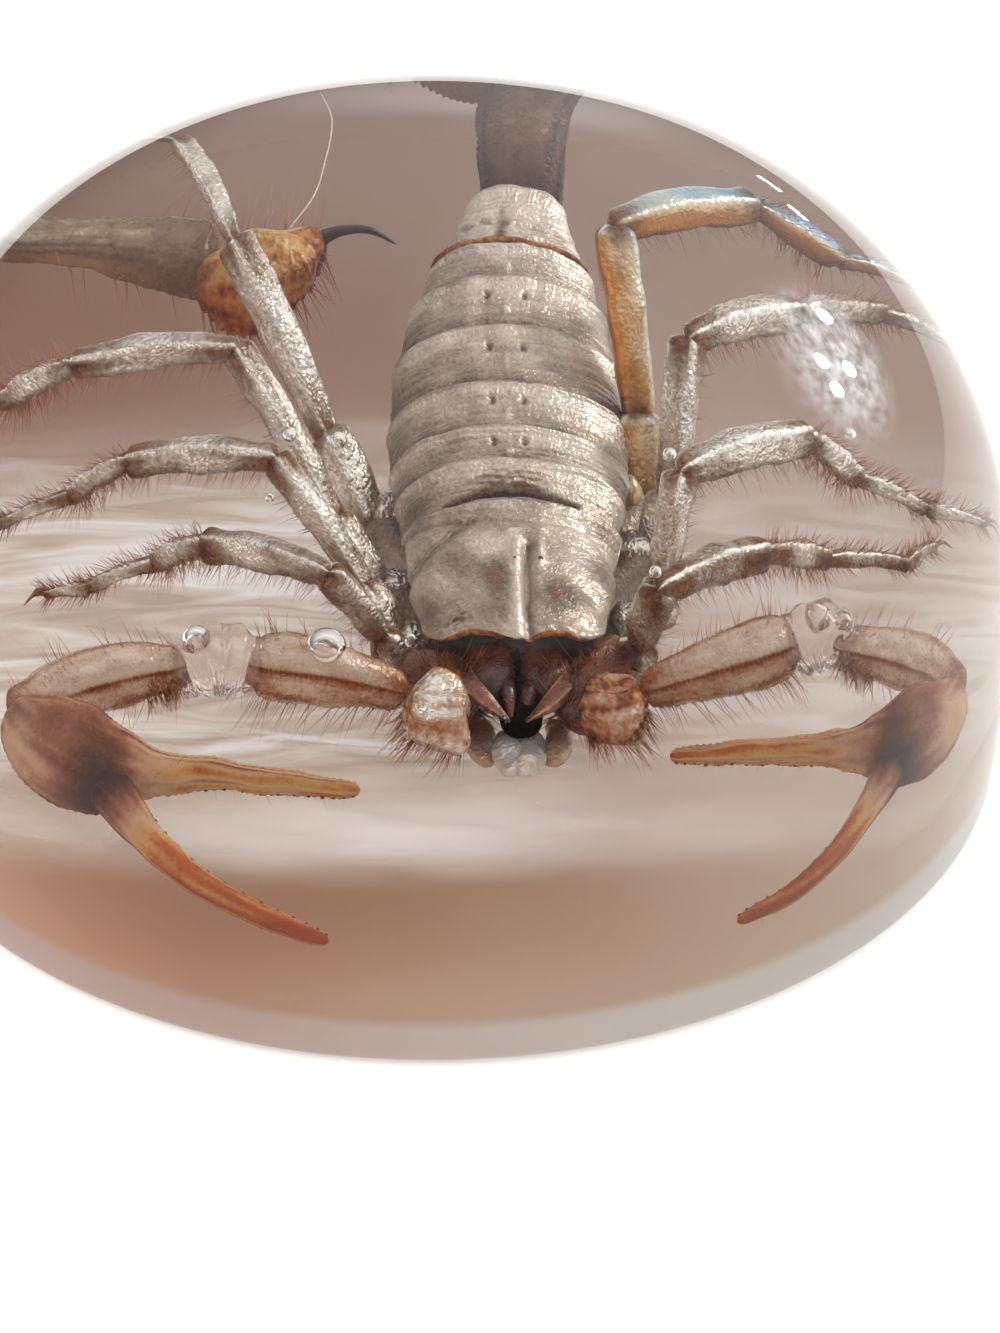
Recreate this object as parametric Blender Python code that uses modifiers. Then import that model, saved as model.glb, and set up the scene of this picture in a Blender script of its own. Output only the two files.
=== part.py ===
"""A clear cast resin dome, the solid block of a specimen paperweight: crown, short wall and flat base in one piece."""

from math import cos, pi, sin

import bmesh
import bpy

# Driving dimensions, in metres. The base is centred on the origin and lies on Z = 0.
BASE_DIAMETER = 0.050
HEIGHT = 0.0265
WALL_HEIGHT = 0.0030      # the upright wall that the rim of the mould leaves under the crown
EDGE_ROUND = 0.0004       # the polished corner between the wall and the flat base
CROWN_POWER = 2.3         # 2 would be an ellipse; a little more makes the shoulder fuller

# How finely the faceted solid is cut.
CROWN_STEPS = 22
EDGE_STEPS = 4
TURN_STEPS = 96
WELD = 0.00001

RESIN_COLOUR = (0.62, 0.52, 0.43, 1.0)
RESIN_ROUGHNESS = 0.03
RESIN_IOR = 1.55


def clear_scene():
    for thing in list(bpy.data.objects):
        bpy.data.objects.remove(thing, do_unlink=True)


def cast_resin():
    """Clear resin: a see-through dielectric with a warm tint."""
    material = bpy.data.materials.new("cast_clear_resin")
    material.use_nodes = True
    surface = material.node_tree.nodes["Principled BSDF"]
    surface.inputs["Base Color"].default_value = RESIN_COLOUR
    surface.inputs["Metallic"].default_value = 0.0
    surface.inputs["Roughness"].default_value = RESIN_ROUGHNESS
    surface.inputs["IOR"].default_value = RESIN_IOR
    surface.inputs["Transmission Weight"].default_value = 1.0
    return material


def crown_profile():
    """Half of a superellipse, from its top on the axis down to the head of the wall, as (radius, height)."""
    radius = BASE_DIAMETER / 2
    rise = HEIGHT - WALL_HEIGHT
    points = []
    for step in range(CROWN_STEPS + 1):
        angle = pi / 2 * (1 - step / CROWN_STEPS)
        across = max(cos(angle), 0.0) ** (2 / CROWN_POWER)
        up = sin(angle) ** (2 / CROWN_POWER)
        points.append((radius * across if step else 0.0, WALL_HEIGHT + rise * up))
    return points


def edge_profile():
    """A quarter circle from the foot of the wall to the flat base, then the centre of the base."""
    centre = BASE_DIAMETER / 2 - EDGE_ROUND
    points = []
    for step in range(EDGE_STEPS + 1):
        angle = pi / 2 * step / EDGE_STEPS
        points.append((centre + EDGE_ROUND * cos(angle), EDGE_ROUND * (1 - sin(angle))))
    return points + [(0.0, 0.0)]


def turned(name, profile, material, collection):
    """A solid of revolution about Z, from a profile that runs down its outer side."""
    mesh = bpy.data.meshes.new(name)
    outline = bmesh.new()
    corners = [outline.verts.new((radius, 0.0, height)) for radius, height in profile]
    for upper, lower in zip(corners, corners[1:]):
        outline.edges.new((upper, lower))
    outline.to_mesh(mesh)
    outline.free()
    mesh.materials.append(material)
    solid = bpy.data.objects.new(name, mesh)
    collection.objects.link(solid)
    turn = solid.modifiers.new("turn", "SCREW")
    turn.axis = "Z"
    turn.angle = 2 * pi
    turn.steps = TURN_STEPS
    turn.render_steps = TURN_STEPS
    turn.use_smooth_shade = True
    turn.use_merge_vertices = True
    turn.merge_threshold = WELD
    return solid


clear_scene()
block = bpy.data.collections.new("scorpion_in_resin_dome")
bpy.context.scene.collection.children.link(block)
turned("resin_dome", crown_profile() + edge_profile(), cast_resin(), block)
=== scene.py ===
# %% [markdown]
# # A scorpion cast in a clear resin dome
# The object is a paperweight: a tall round dome of clear casting resin, 50 mm across, with a real
# pale scorpion sealed in it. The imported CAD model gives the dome, and everything inside it is made
# here as surfaces worked out with numpy. All measures below are in millimetres and are turned to
# metres in one place. The specimen faces the front, -Y, and "left" is -X, as a viewer in front sees it.

# %% The frame
import math

import bpy
import numpy as np
from mathutils import Matrix, Vector


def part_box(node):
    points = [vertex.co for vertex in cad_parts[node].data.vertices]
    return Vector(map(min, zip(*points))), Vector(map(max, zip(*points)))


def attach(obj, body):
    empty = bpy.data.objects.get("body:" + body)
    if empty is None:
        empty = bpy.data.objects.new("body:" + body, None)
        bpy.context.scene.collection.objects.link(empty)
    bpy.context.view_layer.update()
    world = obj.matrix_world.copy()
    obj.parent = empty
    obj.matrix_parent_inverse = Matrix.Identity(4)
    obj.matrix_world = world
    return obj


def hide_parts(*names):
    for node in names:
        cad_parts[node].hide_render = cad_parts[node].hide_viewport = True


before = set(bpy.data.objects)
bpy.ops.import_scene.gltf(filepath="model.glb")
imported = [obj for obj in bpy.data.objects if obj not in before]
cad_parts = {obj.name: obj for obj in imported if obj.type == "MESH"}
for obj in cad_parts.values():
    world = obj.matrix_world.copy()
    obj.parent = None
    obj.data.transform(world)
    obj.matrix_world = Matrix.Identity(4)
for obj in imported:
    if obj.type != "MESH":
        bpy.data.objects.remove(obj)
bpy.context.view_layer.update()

MM = 0.001
dome_low, dome_high = (np.array(corner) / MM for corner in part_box("resin_dome"))
RADIUS = (dome_high[0] - dome_low[0]) / 2
HEIGHT = dome_high[2]
print("dome radius", round(RADIUS, 2), "mm, height", round(HEIGHT, 2), "mm")

# %% [markdown]
# ## The camera
# The photograph looks down at the dome from the front, about 30 degrees above the table and close
# enough that the dome fills the frame. The aim point and the small roll come from fitting the
# dome's base circle and its top to the photograph.

# %% Camera
camera_place = Vector((0, -77.55, 50.14)) * MM
camera_aim = Vector((2.36, -10.37, 7.5)) * MM
CAMERA_ROLL = math.radians(-0.67)
LENS = 54.0

camera = bpy.data.objects.new("camera", bpy.data.cameras.new("camera"))
camera.data.lens, camera.data.sensor_width = LENS, 36
camera.data.clip_start, camera.data.clip_end = 0.005, 10
view = camera_aim - camera_place
turn = view.to_track_quat("-Z", "Y").to_matrix() @ Matrix.Rotation(-CAMERA_ROLL, 3, "Z")
camera.matrix_world = Matrix.Translation(camera_place) @ turn.to_4x4()
bpy.context.scene.collection.objects.link(camera)
bpy.context.scene.camera = camera
print("camera", round(view.length / MM, 1), "mm from its aim point")

# %% [markdown]
# ## Tools for surfaces
# Every piece of the animal is either a limb, which is a closed section carried along a path, or a
# plate, which is a thin curved sheet with an underside. Both are grids of points, so whole arrays
# hold them. A shape is a tuple of its points, its faces and a "tone" for each point, which the
# material reads: 0 is the palest cuticle and 1 the darkest.

# %% Curves
def unit(vectors):
    """Each vector divided by its own length."""
    return vectors / np.maximum(np.linalg.norm(vectors, axis=-1, keepdims=True), 1e-12)


def through(x, knots, values):
    """A smooth line through (knot, value) pairs. Between two knots it is the cubic whose slopes at
    the ends are those of the line through the neighbours on both sides."""
    knots, values = np.asarray(knots, float), np.asarray(values, float)
    slopes = np.gradient(values, knots, axis=0)
    i = np.clip(np.searchsorted(knots, x, side="right") - 1, 0, len(knots) - 2)
    gap = knots[i + 1] - knots[i]
    t = np.clip((x - knots[i]) / gap, 0, 1)
    if values.ndim == 2:
        gap, t = gap[:, None], t[:, None]
    return (
        values[i] * (1 + 2 * t) * (1 - t) ** 2
        + values[i + 1] * (3 - 2 * t) * t**2
        + gap * (slopes[i] * t * (1 - t) ** 2 - slopes[i + 1] * (1 - t) * t**2)
    )


def evenly(x, values):
    """A smooth line through values that stand evenly from x = 0 to x = 1."""
    values = np.atleast_1d(values)
    if len(values) == 1:
        return np.full(np.shape(x), float(values[0]))
    return through(x, np.linspace(0, 1, len(values)), values)


def trail(points, count, crowd=0.6):
    """A path through the points with `count` steps, and the distance of each from the start. The
    steps crowd towards both ends, as (1 - cos) does, so that a rounded end has enough rings."""
    points = np.asarray(points, float)
    reach = np.r_[0, np.cumsum(np.linalg.norm(np.diff(points, axis=0), axis=1))]
    fine = through(np.linspace(0, reach[-1], 600), reach, points)
    run = np.r_[0, np.cumsum(np.linalg.norm(np.diff(fine, axis=0), axis=1))]
    t = np.linspace(0, 1, count)
    t = (1 - crowd) * t + crowd * (0.5 - 0.5 * np.cos(np.pi * t))
    places = t * run[-1]
    return np.stack([np.interp(places, run, fine[:, k]) for k in range(3)], axis=1), places


def waves(points, size, seed):
    """Soft random bumps between about -1 and 1: the mean of eight plane waves in random directions
    whose lengths are near `size`."""
    draw = np.random.default_rng(seed)
    ways = unit(draw.normal(size=(8, 3))) * 2 * np.pi / (size * draw.uniform(0.7, 1.5, (8, 1)))
    return np.sin(points @ ways.T + draw.uniform(0, 6.28, 8)).mean(axis=-1) * 2


print("steps over 10 mm crowd at the ends:", trail([(0, 0, 0), (5, 0, 0), (10, 0, 0)], 7)[1].round(1))


# %% Closing a stack of rings
def outward(points, faces):
    """The faces, turned round if the volume they enclose comes out negative."""
    first, second, third = (points[faces[:, k]] for k in (0, 1, 2))
    last = points[np.where(faces[:, 3] < 0, faces[:, 0], faces[:, 3])]
    volume = np.einsum("ij,ij->i", first, np.cross(second, third) + np.cross(third, last))
    if volume.sum() >= 0:
        return faces
    flipped = faces[:, [2, 1, 0, 3]]
    quads = faces[:, 3] >= 0
    flipped[quads] = faces[quads][:, ::-1]
    return flipped


def closed(rings, tone):
    """A closed skin over a stack of rings, shape (rings, around, 3): four-sided faces between
    neighbours, and a fan of triangles to the middle of the first and the last ring. A triangle
    has -1 as its fourth corner."""
    count, around = rings.shape[:2]
    grid = np.arange(count * around).reshape(count, around)
    beside = np.roll(grid, -1, axis=1)
    walls = np.stack([grid[:-1], beside[:-1], beside[1:], grid[1:]], axis=-1).reshape(-1, 4)
    start, end = count * around, count * around + 1
    none = np.full(around, -1)
    near = np.stack([beside[0], grid[0], np.full(around, start), none], axis=-1)
    far = np.stack([grid[-1], beside[-1], np.full(around, end), none], axis=-1)
    points = np.vstack([rings.reshape(-1, 3), rings[0].mean(axis=0), rings[-1].mean(axis=0)])
    tone = np.broadcast_to(tone, (count, around))
    tones = np.r_[tone.ravel(), tone[0].mean(), tone[-1].mean()]
    return points, outward(points, np.vstack([walls, near, far])), tones


print("3 rings of 4 points close with", len(closed(np.zeros((3, 4, 3)), 0.0)[1]), "faces")

# %% [markdown]
# ## Limbs
# A leg joint of a scorpion is a hollow tube that is wider at its far end, a little taller than
# broad, with blunt ends that plug into the next joint. Some joints carry keels: raised lines of
# beads along the tube. A tube made by a curve's bevel could not swell or carry keels, so the
# section is worked out ring by ring.

# %% Limb
def limb(points, wide, high, tone=0.2, steps=40, around=20, power=2.3, front=(0, -1, 0),
         up=(0, 0, 1), keels=(), blunt=(0.35, 0.35), uneven=0.02, fibres=0.06, seed=1):
    """Rings carried along the path. At distance s the section is the superellipse
    |x / (wide/2)|^p + |z / (high/2)|^p = 1, and the ends shrink as a quarter circle does over the
    `blunt` lengths. Angle 0 of a ring is its front, 90 its top, 180 its back and 270 its underside.
    Each keel (angle, height, spread, bead, dark) lifts the skin along one angle by a bell curve,
    in beads `bead` mm apart, and darkens it. Fibres are waves in the tone, 6 times as long along
    the limb as round it."""
    path, along = trail(points, steps)
    u = along / along[-1]
    ahead = unit(np.gradient(path, axis=0))
    side = unit(np.cross(ahead, np.asarray(up, float)))
    side = side * np.sign((side @ np.asarray(front, float)).sum())
    top = unit(np.cross(side, ahead))
    top = top * np.sign((top @ np.asarray(up, float)).sum())
    turns = np.linspace(0, 2 * np.pi, around, endpoint=False)
    bend = lambda wave: np.sign(wave) * np.abs(wave) ** (2 / power)
    nose = np.clip(1 - along / blunt[0], 0, 1) ** 2
    tail = np.clip(1 - (along[-1] - along) / blunt[1], 0, 1) ** 2
    shrink = np.sqrt(np.clip(1 - np.maximum(nose, tail), 0.02, 1))[:, None, None]
    x = (evenly(u, wide) / 2)[:, None] * bend(np.cos(turns))
    z = (evenly(u, high) / 2)[:, None] * bend(np.sin(turns))
    lift = np.zeros((steps, around))
    tones = evenly(u, tone)[:, None] * np.ones(around)
    for angle, height, spread, bead, dark in keels:
        away = (np.degrees(turns) - angle + 180) % 360 - 180
        line = np.exp(-((away / spread) ** 2))[None, :] * np.ones((steps, 1))
        beads = 0.55 + 0.45 * np.cos(2 * np.pi * along / bead) if bead else np.ones(steps)
        lift += height * line * beads[:, None]
        tones = tones + (dark - tones) * np.clip(line * (0.5 + 0.5 * beads[:, None]), 0, 1)
    section = np.stack([x, z, 0 * x + along[:, None] / 6], axis=-1)
    tones = tones + fibres * waves(section, 0.4, seed + 1)
    outline = x[..., None] * side[:, None] + z[..., None] * top[:, None]
    away = unit(outline)
    rings = path[:, None] + shrink * (outline + lift[..., None] * away)
    rings = rings + uneven * waves(rings, 1.1, seed)[..., None] * away * shrink
    return rings, tones


def skins(*limbs):
    """The closed shape of each limb."""
    return [closed(*made_limb) for made_limb in limbs]


def spots(rings, along, turn):
    """The points of a limb at fractions `along` and `turn` of its grid, and the outward direction
    there, taken between the four nearest points of the grid."""
    count, around = rings.shape[:2]
    u, v = np.clip(along, 0, 0.999) * (count - 1), (turn % 1) * around
    i, j = u.astype(int), v.astype(int)
    s, t = (u - i)[:, None], (v - j)[:, None]
    k = (j + 1) % around
    j = j % around
    here = (
        rings[i, j] * (1 - s) * (1 - t) + rings[i + 1, j] * s * (1 - t)
        + rings[i, k] * (1 - s) * t + rings[i + 1, k] * s * t
    )
    middle = rings.mean(axis=1)
    return here, unit(here - (middle[i] * (1 - s) + middle[i + 1] * s))


print("a limb's grid, rings by points round by xyz:", limb([(0, 0, 0), (5, 0, 0)], 1, 1)[0].shape)

# %% [markdown]
# ## Plates
# The back of the animal is covered by plates, each a curved sheet with a thin edge. A plate is a
# grid of points for its outer face and a copy of the grid moved inwards by the thickness, closed
# round its rim. Solidify could add the thickness, but the two grids keep the rim's shape in hand.

# %% Plate
def plate(top, thick, tone):
    """A closed sheet from a grid of points, shape (across, along, 3): each row of the outer face
    runs on into the same row of the inner face, which lies `thick` mm below along the surface's
    own normal, so one row makes one ring."""
    across = np.gradient(top, axis=0)
    along = np.gradient(top, axis=1)
    normal = unit(np.cross(across, along))
    middle = top.mean(axis=(0, 1))
    if ((top - middle + (0, 0, 1e-6)) * normal).sum() < 0:
        normal = -normal
    under = top - normal * thick
    rim = top - normal * thick / 2
    grow = 0.4 * thick
    rim_start = rim[:, :1] - unit(along[:, :1]) * grow
    rim_end = rim[:, -1:] + unit(along[:, -1:]) * grow
    rings = np.concatenate([rim_start, top, rim_end, under[:, ::-1]], axis=1)
    tones = np.concatenate([tone[:, :1], tone, tone[:, -1:], tone[:, ::-1]], axis=1)
    return closed(rings, tones)


# %% [markdown]
# ## Putting a piece in the scene
# A piece's points go straight into its mesh in metres, in the frame's place, so its object stays
# at the origin. It rides on the part's only body, and it is given its material.

# %% Put a piece
made = {}
PRISM_WAY = np.array([0.5, 0.66, 0.56])


def put(name, shapes, look, prism=(7, 14)):
    """Joins the shapes into one mesh object with a "tone" value on each point. The "prism" value is
    how much a point faces the light that the back of the dome splits into colours: the normal's
    part along PRISM_WAY, growing from nothing to all of it between two places on the y axis."""
    all_points, all_faces, all_tones = zip(*(shapes if isinstance(shapes, list) else [shapes]))
    starts = np.cumsum([0] + [len(part) for part in all_points[:-1]])
    points, tones = np.vstack(all_points), np.concatenate(all_tones)
    faces = np.vstack([np.where(part < 0, -1, part + start) for part, start in zip(all_faces, starts)])
    corners = (faces >= 0).sum(axis=1)
    mesh = bpy.data.meshes.new(name)
    mesh.vertices.add(len(points))
    mesh.vertices.foreach_set("co", (points * MM).ravel())
    mesh.loops.add(int(corners.sum()))
    mesh.loops.foreach_set("vertex_index", faces[faces >= 0].astype(np.int32))
    mesh.polygons.add(len(faces))
    mesh.polygons.foreach_set("loop_start", np.r_[0, np.cumsum(corners)[:-1]].astype(np.int32))
    mesh.polygons.foreach_set("use_smooth", np.ones(len(faces), bool))
    mesh.update(calc_edges=True)
    mesh.validate()
    normals = np.array([normal.vector for normal in mesh.vertex_normals])
    deep = np.clip((points[:, 1] - prism[0]) / (prism[1] - prism[0]), 0, 1)
    for label, values in (("tone", tones), ("prism", normals @ PRISM_WAY * deep)):
        mesh.attributes.new(label, "FLOAT", "POINT").data.foreach_set("value", values.astype(np.float32))
    mesh.materials.append(look)
    piece = bpy.data.objects.new(name, mesh)
    bpy.context.scene.collection.objects.link(piece)
    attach(piece, "root")
    made[name] = len(faces)
    return piece


# %% [markdown]
# ## Materials
# One function turns a colour as a picture editor shows it into the linear values that the shaders
# need, and one adds a node. Three more shorten the nodes that come most often. Pattern sizes are
# real: the Object coordinate is in metres, so a Noise texture whose Scale is 4 * PER_MM has about
# four lumps in each millimetre.

# %% Colour and nodes
PER_MM = 1000.0


def colour(code):
    """The linear red, green, blue and alpha of an sRGB hex code."""
    shades = np.array([int(code[k : k + 2], 16) / 255 for k in (1, 3, 5)])
    linear = np.where(shades <= 0.04045, shades / 12.92, ((shades + 0.055) / 1.055) ** 2.4)
    return (*linear, 1.0)


def node(tree, kind, inputs=None, stops=None, **settings):
    """Adds a node. A node or socket given for an input is linked to it, and anything else is its
    value. Stops are the (place, hex code or grey) pairs of a colour ramp."""
    added = tree.nodes.new("ShaderNode" + kind)
    for name, value in settings.items():
        setattr(added, name, value)
    for name, value in (inputs or {}).items():
        if isinstance(value, bpy.types.Node):
            value = value.outputs[0]
        if isinstance(value, bpy.types.NodeSocket):
            tree.links.new(value, added.inputs[name])
        else:
            added.inputs[name].default_value = value
    if stops:
        marks = added.color_ramp.elements
        while len(marks) < len(stops):
            marks.new(0.5)
        for mark, (place, shade) in zip(marks, stops):
            mark.position = place
            mark.color = colour(shade) if isinstance(shade, str) else (shade, shade, shade, 1)
    return added


def ramp(tree, place, stops):
    """A colour ramp: the colour or grey at a place between 0 and 1."""
    return node(tree, "ValToRGB", {"Fac": place}, stops=stops)


def remap(tree, value, low, high, to_low=0.0, to_high=1.0, soft=False):
    """Moves a value from low..high to to_low..to_high, held at both ends, along an S if soft."""
    return node(tree, "MapRange", {
        "Value": value, "From Min": low, "From Max": high, "To Min": to_low, "To Max": to_high},
        interpolation_type="SMOOTHSTEP" if soft else "LINEAR")


def maths(tree, operation, *values):
    """A sum, a product or the like of nodes and numbers."""
    return node(tree, "Math", dict(enumerate(values)), operation=operation)


def material(name):
    """A new material, its empty node tree, and the point on the piece in metres."""
    new = bpy.data.materials.new(name)
    new.use_nodes = True
    new.node_tree.nodes.clear()
    return new, new.node_tree, node(new.node_tree, "TexCoord").outputs["Object"]


print("middle grey, #808080, is", round(colour("#808080")[0], 3), "in linear light")

# %% [markdown]
# ### Cast resin
# The dome is cast epoxy: clear, glossy and with a high index, about 1.55, so it magnifies what is
# in it and bends the floor's light. Its mirror images are toned down, because the real dome's rim
# stays dark. The underside was sanded flat: the same resin, but satin, so nothing is mirrored in
# it. Its colour is painted light and shade of the surroundings that clear resin would show: warm
# on the left, grey on the right and darker towards the back, and its outermost 4 mm, which the
# wall shows again beside the rim, are painted pale. A lamp's light could reach the specimen only
# by chance hits through the curved glass, so both surfaces let shadow rays pass.

# %% Resin
RESIN_INDEX = 1.55


def let_lamps_through(tree, shader, grey):
    """Ends a material with its shader, which turns into clear grey for rays towards a lamp."""
    lamp_ray = node(tree, "LightPath").outputs["Is Shadow Ray"]
    clear = node(tree, "BsdfTransparent", {"Color": (grey, grey, grey, 1)})
    node(tree, "OutputMaterial", {"Surface": node(tree, "MixShader", {0: lamp_ray, 1: shader, 2: clear})})


cast_resin, tree, _ = material("polished_cast_resin")
clear_shader = node(tree, "BsdfPrincipled", {
    "Base Color": (1, 1, 1, 1), "Roughness": 0.012, "IOR": RESIN_INDEX, "Transmission Weight": 1.0,
    "Specular Tint": (0.5, 0.47, 0.45, 1)})
let_lamps_through(tree, clear_shader, 0.92)

satin_resin, tree, spot = material("satin_sanded_resin")
grit = node(tree, "TexNoise", {"Vector": spot, "Scale": 9 * PER_MM, "Detail": 1.0})
scratch = node(tree, "Bump", {"Height": grit, "Strength": 0.04, "Distance": 0.02 * MM})
place = node(tree, "SeparateXYZ", {"Vector": spot})
sideways = remap(tree, place.outputs["X"], -22 * MM, 20 * MM)
depth = remap(tree, place.outputs["Y"], -20 * MM, 22 * MM)
# Painted light and shade: warm on the left, grey on the right, darker towards the back.
painted_warm_left = ramp(tree, sideways, [(0.0, "#DC9650"), (0.35, "#B6845C"), (0.7, "#CBB4A4"), (1.0, "#D8D4D0")])
painted_dark_back = ramp(tree, depth, [(0.0, "#E0CCB8"), (0.5, "#DECEC4"), (1.0, "#A28070")])
middle = node(tree, "Mix", {0: 1.0, 6: painted_warm_left, 7: painted_dark_back}, data_type="RGBA", blend_type="MULTIPLY")
from_middle = node(tree, "VectorMath", {0: spot}, operation="LENGTH").outputs["Value"]
# Painted light: the outermost band is painted pale, for the pale surroundings that the wall shows again.
border = remap(tree, from_middle, 20.4 * MM, 21.8 * MM, to_high=0.85, soft=True)
pale = ramp(tree, sideways, [(0.0, "#A08084"), (0.35, "#AC9088"), (0.62, "#C2BAB4"), (1.0, "#D2D8D6")])
painted_satin_colour = node(tree, "Mix", {0: border, 6: middle.outputs[2], 7: pale}, data_type="RGBA")
satin_shader = node(tree, "BsdfPrincipled", {
    "Base Color": painted_satin_colour.outputs[2], "Roughness": 0.5, "IOR": RESIN_INDEX, "Transmission Weight": 0.3,
    "Normal": scratch})
let_lamps_through(tree, satin_shader, 0.7)
print("resin materials ready, index", RESIN_INDEX)

# %% [markdown]
# ### Cuticle
# Cuticle is chitin: a hard, slightly oily horn with an index near 1.55. In resin it lets light
# in, so thin parts look like amber glass, and where a film of air is trapped under it, it turns
# into a silver mirror. That gives the eye four things: a horn colour that follows the joints and
# keels, a fine grain of about 0.1 mm, patches of silver, and, towards the back of the dome, the
# orange and blue edges that its thick glass adds to what stands there. These edges are painted
# light: a tint, set by the way each surface faces, that multiplies the horn colour.

# %% Cuticle
# Painted light: the colours of the light that the dome's back splits, orange to one side and blue to the
# other, painted into the horn colour.
PRISM_STOPS = [(0.0, "#B05A28"), (0.2, "#F08A3C"), (0.34, "#FFC878"), (0.46, "#FFFFFF"), (0.74, "#FFFFFF"),
               (0.86, "#B8E6F4"), (0.95, "#6FA8E6"), (1.0, "#8A80D0")]
GOLD_PAINTED_PRISM_STOPS = [(0.0, "#8A4E2C"), (0.2, "#CC7C3C"), (0.4, "#FFBC6C"), (0.54, "#FFECC8"), (0.68, "#FFFFFF"),
              (0.84, "#E4F8FF"), (0.92, "#9CD0F4"), (1.0, "#8A84D8")]


def cuticle(name, stops, silver=0.0, clear=0.0, rough=0.3, grain=7, depth=0.03, mottle=0.3, index=1.5,
            coat=0.3, fleck=0.36, prism=PRISM_STOPS):
    """Horn coloured by the piece's tone, with clouds of 0.9 mm that move it by `mottle` and specks,
    `grain` to a millimetre, that move it by `fleck` and stand `depth` mm high. Pale places turn
    into silver, where air lies under the horn. `clear` is the share of light that passes, `coat`
    the oily film on top, and `prism` holds the colours of split light. The index is that of the
    horn against the resin round it, so a clear skin has one close to 1."""
    new, tree, spot = material(name)
    tone = node(tree, "Attribute", attribute_name="tone").outputs["Fac"]
    facing = node(tree, "Attribute", attribute_name="prism").outputs["Fac"]
    cloud = node(tree, "TexNoise", {"Vector": spot, "Scale": 1.1 * PER_MM, "Detail": 3.0, "Roughness": 0.65})
    speck = node(tree, "TexNoise", {"Vector": spot, "Scale": grain * PER_MM, "Detail": 1.0, "Roughness": 0.7})
    clouded = maths(tree, "ADD", tone, maths(tree, "MULTIPLY_ADD", cloud, mottle, -mottle / 2))
    flecked = maths(tree, "ADD", clouded, maths(tree, "MULTIPLY_ADD", speck, fleck, -fleck / 2))
    # Painted light: the split light's colours tint the base colour by the way the surface faces.
    painted_prism_tint = ramp(tree, remap(tree, facing, -1.0, 1.0), prism)
    tinted = node(tree, "Mix", {0: 1.0, 6: ramp(tree, flecked, stops), 7: painted_prism_tint},
                  data_type="RGBA", blend_type="MULTIPLY")
    shader = node(tree, "BsdfPrincipled", {
        "Base Color": tinted.outputs[2],
        "Metallic": remap(tree, clouded, 0.55, 0.2, to_high=silver),
        "Roughness": remap(tree, cloud, 0.3, 0.7, rough - 0.08, rough + 0.1),
        "Normal": node(tree, "Bump", {"Height": speck, "Strength": 1.0, "Distance": depth * MM}),
        "IOR": index, "Transmission Weight": clear, "Coat Weight": coat, "Coat Roughness": 0.1})
    node(tree, "OutputMaterial", {"Surface": shader})
    return new


# %% [markdown]
# The colours run from tone 0, the palest horn, to tone 1, the darkest. Only the hand starts with
# the orange of its fingers: its palm is the beige in the middle, and the stain on it is dark.

# %% Horn colours
PALE_STOPS = [(0.0, "#D4C8BC"), (0.2, "#AEA092"), (0.42, "#807264"), (0.56, "#605448"), (0.68, "#74432F"),
              (0.84, "#4C2418"), (1.0, "#180C0A")]
LEG_STOPS = [(0.0, "#FAF6F0"), (0.3, "#D0C4B8"), (0.5, "#A08E7E"), (0.66, "#98603E"), (0.82, "#6A3220"),
             (1.0, "#24110E")]
ARM_STOPS = [(0.0, "#F6E8DC"), (0.28, "#D4B8A2"), (0.48, "#AA7050"), (0.7, "#824028"), (1.0, "#3A1A12")]
TAIL_STOPS = [(0.0, "#E0D6CA"), (0.3, "#B09A82"), (0.5, "#8E7660"), (0.68, "#6E5040"), (0.84, "#553226"),
              (1.0, "#281410")]
HAND_STOPS = [(0.0, "#A84E28"), (0.1, "#BC6630"), (0.21, "#CC9A5A"), (0.32, "#CCA482"), (0.44, "#B88A70"),
              (0.56, "#965E44"), (0.68, "#74402C"), (0.82, "#45241A"), (1.0, "#241614")]
MOUTH_STOPS = [(0.0, "#E8C8B0"), (0.2, "#C08462"), (0.4, "#9C5A40"), (0.7, "#622C1E"), (1.0, "#240F0B")]
AMBER_STOPS = [(0.0, "#E4CCA4"), (0.25, "#D2A468"), (0.45, "#B87840"), (0.62, "#8E4A2A"), (0.78, "#5A281A"),
               (0.9, "#35201C"), (1.0, "#1E1210")]
THIN_STOPS = [(0.0, "#F0EAE4"), (0.3, "#D8BFAA"), (0.55, "#BC8054"), (0.75, "#84462C"), (1.0, "#2A1210")]
DARK_STOPS = [(0.0, "#A05A3A"), (0.5, "#5A271B"), (1.0, "#120908")]
BRISTLE_STOPS = [(0.0, "#D4A080"), (0.5, "#B06444"), (1.0, "#743824")]

# %% Kinds of cuticle
# The plates of the back: dull mother-of-pearl, grey-brown in the hollows.
pale_cuticle = cuticle("pearly_cuticle", PALE_STOPS, silver=0.45, rough=0.36, grain=9, depth=0.045, coat=0.15)
# The legs: air under thin horn gives them the glitter of silver foil.
leg_cuticle = cuticle("silver_leg_cuticle", LEG_STOPS, silver=0.75, clear=0.5, rough=0.18, grain=6,
                      depth=0.11, mottle=0.6, index=1.15, fleck=0.5)
back_leg_cuticle = cuticle("back_leg_cuticle_painted_split_light", LEG_STOPS, silver=0.35, clear=0.45, rough=0.22,
                           grain=6, depth=0.06, mottle=0.4, index=1.15, prism=GOLD_PAINTED_PRISM_STOPS)
# Arms and tail: see-through grey-brown tubes, a little silvery.
arm_cuticle = cuticle("grey_brown_cuticle", ARM_STOPS, silver=0.12, clear=0.6, rough=0.24, depth=0.05,
                      mottle=0.5, index=1.12, coat=0.12)
tail_cuticle = cuticle("dull_tail_cuticle", TAIL_STOPS, silver=0.5, clear=0.5, rough=0.24, mottle=0.6,
                       index=1.1)
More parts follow.
